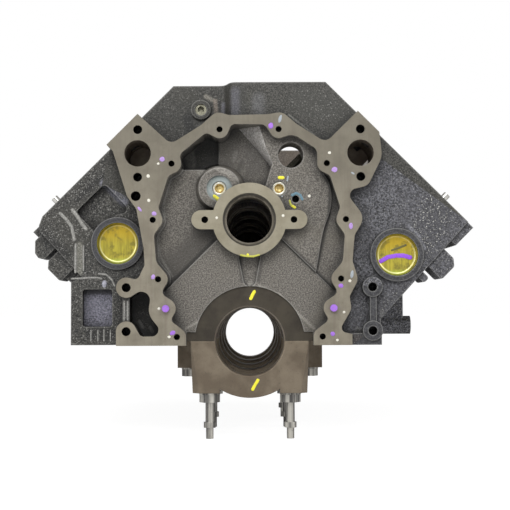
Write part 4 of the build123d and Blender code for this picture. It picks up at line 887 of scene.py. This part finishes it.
@dataclass(frozen=True)
class PenStroke:
    """A drawn line of paint through points on a surface that faces the front, in millimetres."""

    points: tuple[Point, ...]
    half_width: float = 1.6
    depth: float = 0.0
    spacing: float = 0.7

    def marks(self) -> tuple[PenMark, ...]:
        """The overlapping dabs that make the line."""
        dabs = []
        for (x0, z0), (x1, z1) in zip(self.points, self.points[1:]):
            steps = max(1, math.ceil(math.hypot(x1 - x0, z1 - z0) / (self.spacing * self.half_width)))
            for step in range(steps + 1):
                part = step / steps
                place = (x0 + part * (x1 - x0), z0 + part * (z1 - z0))
                dabs.append(PenMark(*place, self.half_width, self.half_width, self.depth))
        return tuple(dabs)


PEN_MARKS: dict[PenColour, tuple[PenMark | PenStroke, ...]] = {
    PenColour.PURPLE: (
        PenMark(23.6, 232.4, 3.0, 3.2),
        PenMark(97.8, 59.3, 2.8, 2.4),
        PenMark(88.8, 7.9, 2.6, 2.4),
        PenMark(-82.5, 9.5, 3.2, 2.2, 0.0, -25.0),
    ),
    PenColour.VIOLET: (
        PenStroke(((142.5, 86.0), (150.2, 90.4), (159.6, 92.2), (168.0, 92.0), (174.5, 90.0)), 2.4, 13.6),
    ),
    PenColour.PALE_PURPLE: (
        PenMark(-93.7, 196.4, 3.0, 2.6),
        PenMark(-102.6, 137.6, 2.8, 2.4),
        PenMark(-103.4, 69.6, 2.2, 2.8, 0.0, 25.0),
        PenMark(92.1, 184.6, 3.2, 2.8),
        PenMark(109.2, 123.6, 2.2, 3.4),
        PenMark(-118.0, 142.5, 1.4, 3.2, 0.0, -40.0),
    ),
    PenColour.BLUE: (
        PenStroke(((46.6, 158.4), (51.0, 160.4), (55.4, 158.4), (57.6, 153.8)), 1.5, CHEST_FLOOR),
    ),
    PenColour.PALE_BLUE: (
        PenMark(33.6, 239.8, 1.8, 4.4, 0.0, 15.0),
        PenMark(109.8, 71.5, 1.8, 4.4, 0.0, 10.0),
        PenMark(111.8, 180.6, 2.2, 1.0, 0.0, 30.0),
        PenMark(35.6, 157.0, 0.9, 0.9, CHEST_FLOOR),
        PenStroke(((42.2, 178.6), (41.4, 174.2)), 0.9, CHEST_FLOOR),
    ),
    PenColour.OIL: (
        PenStroke(((155.0, 98.0), (162.0, 100.4), (170.0, 103.6)), 1.3, 13.9),
    ),
    PenColour.OLIVE: (
        PenStroke(((-9.0, 92.6), (-3.0, 91.4), (4.0, 91.2), (10.0, 92.8)), 1.1),
        PenStroke(((43.8, 152.4), (45.2, 147.6), (49.6, 144.6)), 1.1, CHEST_FLOOR),
        PenStroke(((-38.6, 156.6), (-35.0, 153.6), (-30.6, 153.4)), 1.2, 10.6),
    ),
    PenColour.WHITE: (
        PenMark(-98.0, 191.6, 1.5, 1.3),
        PenMark(-109.0, 178.2, 2.0, 2.0),
        PenMark(-108.2, 152.0, 1.8, 1.8),
        PenMark(-97.1, 35.5, 1.5, 1.5),
        PenMark(-86.3, 5.2, 1.8, 1.4),
        PenMark(-35.2, 132.9, 1.5, 1.5),
        PenMark(36.3, 134.9, 1.6, 1.6),
        PenMark(86.8, 202.8, 1.8, 1.6),
        PenMark(65.2, 157.2, 1.7, 1.7, CHEST_FLOOR),
        PenMark(107.6, 64.5, 1.6, 1.6),
        PenMark(101.0, 31.0, 1.5, 1.5),
        PenMark(93.7, 1.2, 1.5, 1.4),
    ),
    PenColour.YELLOW: (
        PenStroke(((1.2, 46.2), (3.0, 50.0), (5.0, 53.4)), 1.9, CAP_FRONT),
        PenStroke(((3.0, -52.0), (5.4, -47.4), (8.6, -42.2)), 1.8, CAP_FRONT),
        PenMark(-1.8, 93.2, 1.4, 1.2),
        PenStroke(((32.8, 177.6), (36.6, 177.4)), 1.8, CHEST_FLOOR),
        PenStroke(((46.8, 146.4), (49.4, 144.8)), 1.5, CHEST_FLOOR),
        PenStroke(((-38.0, 157.8), (-33.6, 154.8)), 1.5, 10.6),
    ),
}


@dataclass
class PenMarks:
    """The inspector's dabs of paint, one piece for each colour."""

    thickness: float = 0.35
    unevenness: float = 0.22
    swirl: float = 1.3

    def build(self) -> None:
        """Makes one piece for each pen."""
        for pen, marks in PEN_MARKS.items():
            shape = bmesh.new()
            dabs = [dab for mark in marks for dab in mark.marks()]
            for number, dab in enumerate(dabs):
                self._dab(shape, dab, number)
            _finish_piece(shape, pen.value.name + "_marks", pen.value.material(), smooth=True)

    def _dab(self, shape: bmesh.types.BMesh, mark: PenMark, number: int) -> None:
        """Adds one uneven flattened drop.

        Args:
            shape: the mesh that it is added to.
            mark: its place and size.
            number: which one it is, for its unevenness.
        """
        made = bmesh.ops.create_icosphere(shape, subdivisions=2, radius=1.0)
        for vertex in made["verts"]:
            spot = Vector((vertex.co.x, vertex.co.z, number * 3.7)) * self.swirl
            wobble = 1.0 + self.unevenness * noise.noise(spot)
            across, up = mark.width * wobble, mark.height * wobble
            vertex.co = Vector((vertex.co.x * across, vertex.co.y * self.thickness, vertex.co.z * up))
        turn = Matrix.Rotation(math.radians(mark.turn), 4, "Y")
        place = Matrix.Translation((mark.x, mark.depth, mark.z)) @ turn
        bmesh.ops.transform(shape, matrix=place, verts=made["verts"])


def _place(name: str, data: bpy.types.ID, place: Matrix | None = None) -> bpy.types.Object:
    """Adds an object to the scene.

    Args:
        name: its name.
        data: its mesh, lamp or camera.
        place: where it stands, if not at the origin.

    Returns:
        The object.
    """
    made = bpy.data.objects.new(name, data)
    if place is not None:
        made.matrix_world = place
    bpy.context.scene.collection.objects.link(made)
    return made


def _mesh_of(shape: bmesh.types.BMesh, name: str, material: bpy.types.Material) -> bpy.types.Mesh:
    """Turns a bmesh, which is freed, into a mesh of one material."""
    mesh = bpy.data.meshes.new(name)
    shape.to_mesh(mesh)
    shape.free()
    mesh.materials.append(material)
    return mesh


def _finish_piece(
    shape: bmesh.types.BMesh, name: str, material: bpy.types.Material, smooth: bool = False
) -> bpy.types.Object:
    """Turns a mesh drawn in millimetres into a piece of the object.

    Args:
        shape: the mesh, which is freed.
        name: the piece's name.
        material: its material.
        smooth: whether its faces are shaded smooth.

    Returns:
        The piece.
    """
    bmesh.ops.transform(shape, matrix=Matrix.Scale(MM, 4), verts=shape.verts)
    for face in shape.faces:
        face.smooth = smooth
    piece = _place(name, _mesh_of(shape, name, material))
    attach(piece, ROOT_BODY)
    LOG.info("%s: %d faces", name, len(piece.data.polygons))
    return piece


@dataclass
class Hardware:
    """Caps, bolts, plugs, dowels and bearings that keep their solids and get their finish."""

    def dress(self, frame: dict[str, object]) -> None:
        """Gives each node its material.
        """
        finishes = {**NODE_FINISHES, PenColour.PURPLE.value: ("cover_dowels",)}
        for finish, nodes in finishes.items():
            material = finish.material()
            for name in nodes:
                mesh = frame["nodes"][name].data
                mesh.materials.clear()
                mesh.materials.append(material)
            LOG.info("%s: %d nodes", finish.name, len(nodes))


@dataclass(frozen=True)
class CupFinish:
    """The yellow plating of a pressed plug, with its blotches and a painted highlight on the ring inside its
    lip.
    """

    name: str
    centre: Point
    ring: float = 20.2
    metallic: float = 0.45

    def material(self) -> bpy.types.Material:
        """Builds it."""
        graph = ShaderGraph(self.name)
        here = graph.coordinates()
        across, up = graph.seen_from_front(here)
        from_x, from_z = across - self.centre[0], up - self.centre[1]
        radius = (from_x * from_x + from_z * from_z).power(0.5)
        streaks = graph.grain(graph.stretched(here, (1.0, 1.0, 0.12)), 3.4, 3.0, 0.6)
        blotches = graph.grain(here, 9.0, 3.0, 0.6)
        tone = graph.blend(streaks.ramp(0.36, 0.66), (0.46, 0.39, 0.045), (0.29, 0.25, 0.032))
        tone = graph.blend(from_z.ramp(-4.0, 15.0, 0.0, 0.7), tone, (0.46, 0.30, 0.010))
        tone = graph.blend(blotches.ramp(0.50, 0.66, 0.0, 0.7), tone, (0.15, 0.13, 0.025))
        tone = graph.blend(from_z.ramp(-20.5, -14.5, 0.8, 0.0), tone, (0.34, 0.44, 0.06))
        # Painted highlight: a pale band inside the lip, stronger towards the bottom.
        pale = radius.ramp(self.ring - 1.4, self.ring - 0.4)
        pale = pale * radius.ramp(self.ring + 0.2, self.ring + 0.9, 1.0, 0.0)
        tone = graph.blend(pale * (0.12 + from_z.ramp(16.0, -16.0, 0.06, 0.45)), tone, (0.95, 0.92, 0.50))
        seam = radius.ramp(21.0, 21.5) * radius.ramp(22.0, 22.5, 1.0, 0.0)
        tone = graph.blend(seam * 0.75, tone, (0.16, 0.14, 0.01))
        normal = graph.bump(streaks * 0.4 + blotches * 0.6, 0.12)
        return graph.surface(tone, 0.30 + 0.25 * streaks, self.metallic, normal)


@dataclass(frozen=True)
class SpunPlug:
    """A plug turned about its own axis: its profile is radius and depth behind its front."""

    centre: Point
    front: float
    profile: tuple[Point, ...]
    steps: int = 96

    def add_to(self, shape: bmesh.types.BMesh) -> None:
        """Spins the profile into a mesh.

        Args:
            shape: the mesh that it is added to, in millimetres.
        """
        x, z = self.centre
        points = [shape.verts.new((x + radius, self.front + depth, z)) for radius, depth in self.profile]
        edges = [shape.edges.new(pair) for pair in zip(points, points[1:])]
        bmesh.ops.spin(
            shape,
            geom=[*points, *edges],
            cent=(x, self.front, z),
            axis=(0, 1, 0),
            angle=math.tau,
            steps=self.steps,
            use_merge=True,
        )
        bmesh.ops.remove_doubles(shape, verts=shape.verts, dist=0.01)
        bmesh.ops.recalc_face_normals(shape, faces=shape.faces)


@dataclass
class FrontPlugs:
    """The pressed cups of the banks and the socket plugs of the oil galleries, seen from the front."""

    cup: tuple[Point, ...] = (
        (22.9, 10.0), (22.9, 0.9), (22.6, 0.3), (22.2, 0.0), (21.7, 0.3), (21.4, 1.0), (21.1, 3.4),
        (20.6, 4.2), (19.8, 4.7), (18.6, 4.9), (10.0, 4.7), (0.0, 4.5),
    )
    socket: tuple[Point, ...] = (
        (7.8, 6.0), (7.8, 0.5), (7.3, 0.0), (5.2, 0.0), (4.6, 0.5), (4.3, 2.0), (2.4, 3.2), (0.0, 3.4),
    )
    gold_radius: float = 4.9

    def build(self, frame: dict[str, object]) -> None:
        """Makes both cups and both socket plugs in place of their solids.
        """
        for node in ("front_core_plug_right", "front_core_plug_left"):
            low, high = [[value / MM for value in corner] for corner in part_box(node)]
            centre = ((low[0] + high[0]) / 2, (low[2] + high[2]) / 2)
            shape = bmesh.new()
            SpunPlug(centre, low[1], self.cup).add_to(shape)
            finish = CupFinish(node + "_plating", centre)
            piece = _finish_piece(shape, node + "_cup", finish.material(), smooth=True)
            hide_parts(node)
        node = "front_gallery_plugs"
        shape = bmesh.new()
        for side in (1, -1):
            front = min(v.co.y / MM for v in frame["nodes"][node].data.vertices if v.co.x * side > 0)
            SpunPlug((side * GALLERY_PLACE[0], GALLERY_PLACE[1]), front, self.socket).add_to(shape)
        silver = PlatedFinish("bright_plug_ring", (0.70, 0.68, 0.58), (0.48, 0.46, 0.36), 0.32, 0.6)
        piece = _finish_piece(shape, node + "_turned", silver.material(), smooth=True)
        gold = PlatedFinish("gold_plug_socket", (0.62, 0.48, 0.20), (0.34, 0.25, 0.09), 0.34, 0.6)
        piece.data.materials.append(gold.material())
        for face in piece.data.polygons:
            across, up = abs(face.center.x) / MM, face.center.z / MM
            from_axis = math.hypot(across - GALLERY_PLACE[0], up - GALLERY_PLACE[1])
            face.material_index = int(from_axis < self.gold_radius)
        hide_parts(node)


@dataclass(frozen=True)
class Ridge:
    """A rounded cast ridge that follows points on a surface that faces the front, in millimetres."""

    points: tuple[Point, ...]
    radius: float = 1.2
    depth: float = LEFT_BANK_FRONT
    proud: float = 0.7

    def add_to(self, shape: bmesh.types.BMesh) -> None:
        """Adds a bar for each stretch and a ball at each point.

        Args:
            shape: the mesh that it is added to, in millimetres.
        """
        for x, z in self.points:
            ball = bmesh.ops.create_icosphere(shape, subdivisions=2, radius=self.radius)
            bmesh.ops.scale(shape, vec=(1.0, self.proud / self.radius, 1.0), verts=ball["verts"])
            bmesh.ops.translate(shape, vec=(x, self.depth, z), verts=ball["verts"])
        flat = Matrix.Diagonal((1.0, self.proud / self.radius, 1.0, 1.0))
        for (x0, z0), (x1, z1) in zip(self.points, self.points[1:]):
            run = Vector((x1 - x0, 0, z1 - z0))
            size = {"radius1": self.radius, "radius2": self.radius, "depth": run.length}
            bar = bmesh.ops.create_cone(shape, segments=16, cap_ends=False, **size)
            middle = Matrix.Translation(((x0 + x1) / 2, self.depth, (z0 + z1) / 2))
            turn = run.to_track_quat("Z", "Y").to_matrix().to_4x4()
            bmesh.ops.transform(shape, matrix=middle @ flat @ turn, verts=bar["verts"])


@dataclass
class CastDetails:
    """Small cast forms of the left bank and its pump box."""

    plate: tuple[float, float, float, float] = (-167.5, 36.5, 33.0, 41.4)
    plate_depth: float = 42.0
    plate_thickness: float = 1.2
    left_ridges: tuple[Ridge, ...] = (
        Ridge(((-195.2, 144.8), (-188.6, 136.0), (-184.5, 129.0), (-180.0, 123.4)), 2.2),
        Ridge(((-209.0, 141.0), (-202.0, 134.5), (-196.0, 126.0), (-193.2, 112.0)), 1.9),
        Ridge(((-191.8, 106.5), (-191.8, 76.0)), 1.4),
        Ridge(((-183.0, 104.0), (-183.0, 78.0)), 1.0),
        Ridge(((-196.0, 68.8), (-168.0, 70.0), (-163.0, 68.8)), 1.1),
        Ridge(((-166.0, 74.2), (-158.0, 73.4), (-151.6, 67.6), (-148.4, 60.8)), 1.1),
        *(Ridge(((x, 43.6), (x, 23.0)), 0.9, 4.6) for x in (-134.8, -131.3)),
        *(Ridge(((x, 12.0), (x, 0.5)), 0.9) for x in (-174.4, -166.7, -160.1, -152.9)),
        Ridge(((-121.5, 22.0), (-117.5, 15.0)), 1.5, 33.6),
        Ridge(((-109.5, 15.0), (-107.0, 10.5)), 2.0, 33.6),
    )
    lug: Triple = (-159.8, 63.0, 3.0)
    lug_squash: Triple = (1.0, 0.5, 1.4)
    web: tuple[Point, ...] = (
        (-206.0, 71.8), (-196.4, 63.6), (-185.6, 63.6), (-185.6, 84.0), (-194.4, 86.9),
    )
    web_front: float = 40.0
    web_length: float = 60.0

    def build(self) -> None:
        """Makes the ridges, and the web, floor and lug of the pump box."""
        self._ridges()
        self._web()
        self._floor_and_lug()

    def _ridges(self) -> None:
        """The raised lines of the left bank."""
        shape = bmesh.new()
        for ridge in self.left_ridges:
            ridge.add_to(shape)
        lit = CastFinish(
            "lit_ridge_casting", (0.020, 0.020, 0.018), (0.200, 0.196, 0.180), (0.070, 0.068, 0.058),
            relief=1.0, glints=0.7, grit=1.8, shadow=0.30,
        )
        _finish_piece(shape, "left_bank_ridges", lit.material(), smooth=True)

    def _web(self) -> None:
        """The wall between the pump box and the corner lug."""
        shape = bmesh.new()
        corners = [shape.verts.new((x, self.web_front, z)) for x, z in self.web]
        web = bmesh.ops.extrude_face_region(shape, geom=[shape.faces.new(corners)])
        moved = [part for part in web["geom"] if isinstance(part, bmesh.types.BMVert)]
        bmesh.ops.translate(shape, vec=ALONG_BLOCK * self.web_length, verts=moved)
        bmesh.ops.recalc_face_normals(shape, faces=shape.faces)
        painted = CastFinish(
            "painted_web_casting", (0.009, 0.009, 0.009), (0.070, 0.067, 0.058), (0.040, 0.037, 0.028)
        )
        _finish_piece(shape, "pump_box_web", painted.material())

    def _floor_and_lug(self) -> None:
        """The floor behind the pump box's window, and the lug above it."""
        x, z, width, height = self.plate
        shape = bmesh.new()
        floor = bmesh.ops.create_cube(shape, size=1.0)
        bmesh.ops.scale(shape, vec=(width, self.plate_thickness, height), verts=floor["verts"])
        bmesh.ops.translate(shape, vec=(x, self.plate_depth, z), verts=floor["verts"])
        lug_x, lug_z, radius = self.lug
        ball = bmesh.ops.create_icosphere(shape, subdivisions=3, radius=radius)
        bmesh.ops.scale(shape, vec=self.lug_squash, verts=ball["verts"])
        bmesh.ops.translate(shape, vec=(lug_x, LEFT_BANK_FRONT, lug_z), verts=ball["verts"])
        bluish = CastFinish(
            "bluish_box_floor", (0.055, 0.055, 0.070), (0.235, 0.230, 0.285), (0.125, 0.123, 0.150),
            relief=1.2, glints=0.20, edge_highlight=0.0, grit=1.9, shadow=0.45,
            touches=(
                # Painted shadow under the window's top edge.
                Touch((0.016, 0.016, 0.014), (-186, 57), (-150, 57), 2.0, 6.0, 0.9),
                Touch((0.40, 0.40, 0.46), (-159.8, 65.5), (-159.8, 61.5), 2.0, 1.6, 0.9),
            ),
        )
        _finish_piece(shape, "pump_box_floor", bluish.material())


@dataclass
class Studio:
    """Pale floor, white surroundings, soft lamps and the camera of the photograph."""

    image_size: int = 510
    distance: float = 1165.0
    vanishing_point: Point = (249.5, 311.0)
    scale: float = 1.071
    camera_height: float = 32.6
    roll: float = -0.23
    floor_height: float = -106.9
    floor_reach: float = 30.0
    floor_tone: float = 0.86
    floor_glow: float = 1.28
    floor_share: float = 0.70
    sensor: float = 36.0
    room_light: float = 0.44
    lamps: tuple[tuple[str, Triple, float, float], ...] = (
        ("top_front_box", (-0.15, -1.4, 1.3), 1.1, 24.0),
        ("left_box", (-1.7, -0.9, 0.7), 0.9, 14.0),
        ("right_box", (1.6, -0.8, 0.9), 0.9, 14.0),
    )
    aim: Triple = (0.0, 0.1, 0.1)

    def build(self) -> None:
        """Makes the whole setting."""
        self._camera()
        self._floor()
        self._surroundings()
        self._lamps()

    def _camera(self) -> None:
        """Looks along the crank, a little above it, tipped up as the photograph's frame asks."""
        middle = self.image_size / 2
        off_x = (middle - self.vanishing_point[0]) * self.scale
        off_z = (self.vanishing_point[1] - middle) * self.scale
        pitch = math.asin(off_z / self.distance)
        yaw = math.atan2(off_x, self.distance)
        focal = self.distance * math.cos(pitch) / self.scale
        data = bpy.data.cameras.new("front_camera")
        data.sensor_width = self.sensor
        data.lens = focal * self.sensor / self.image_size
        data.clip_start = 0.05
        turn = Euler((math.pi / 2 + pitch, 0.0, -yaw)).to_matrix().to_4x4()
        tilt = Matrix.Rotation(math.radians(self.roll), 4, "Z")
        place = Matrix.Translation((0.0, -self.distance * MM, self.camera_height * MM))
        bpy.context.scene.camera = _place("front_camera", data, place @ turn @ tilt)
        LOG.info("camera: lens %.1f mm, pitch %.2f degrees", data.lens, math.degrees(pitch))

    def _floor(self) -> None:
        """A pale floor that shows white to the camera and keeps a soft shadow."""
        shape = bmesh.new()
        bmesh.ops.create_grid(shape, x_segments=1, y_segments=1, size=self.floor_reach)
        bmesh.ops.translate(shape, vec=(0, 0, self.floor_height * MM), verts=shape.verts)
        graph = ShaderGraph("pale_floor")
        matt = graph.node("ShaderNodeBsdfDiffuse", {}, {"Color": (*[self.floor_tone] * 3, 1.0)})
        white = graph.node("ShaderNodeEmission", {}, {"Color": WHITE, "Strength": self.floor_glow})
        seen = graph.node("ShaderNodeLightPath", output="Is Camera Ray")
        mixed = graph.node("ShaderNodeMixShader", {}, {0: seen * self.floor_share, 1: matt, 2: white})
        _place("pale_floor", _mesh_of(shape, "pale_floor", graph.close(mixed)))

    def _surroundings(self) -> None:
        """A white room: bright to the camera and in reflections, milder as light."""
        world = bpy.data.worlds.new("white_room")
        bpy.context.scene.world = world
        graph = ShaderGraph("white_room", world)
        seen = graph.node("ShaderNodeLightPath", output="Is Camera Ray")
        through = graph.node("ShaderNodeLightPath", output="Is Transmission Ray")
        strength = seen.larger(through).ramp(0.0, 1.0, self.room_light, 1.0)
        room = graph.node("ShaderNodeBackground", {}, {"Color": WHITE, "Strength": strength})
        graph.close(room, "ShaderNodeOutputWorld")

    def _lamps(self) -> None:
        """A large soft box above the front, one on each side."""
        for name, place, size, power in self.lamps:
            data = bpy.data.lights.new(name, "AREA")
            data.size = size
            data.energy = power
            turn = (Vector(self.aim) - Vector(place)).to_track_quat("-Z", "Y").to_matrix().to_4x4()
            _place(name, data, Matrix.Translation(place) @ turn)


def main() -> None:
    """Builds the scene in order."""
    logging.basicConfig(level=logging.INFO, format="%(name)s %(message)s")
    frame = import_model()
    bpy.context.scene.view_settings.view_transform = "Standard"
    BlockCasting().dress(frame)
    Hardware().dress(frame)
    FrontPlugs().build(frame)
    CastDetails().build()
    PenMarks().build()
    Studio().build()


if __name__ == "__main__":
    main()
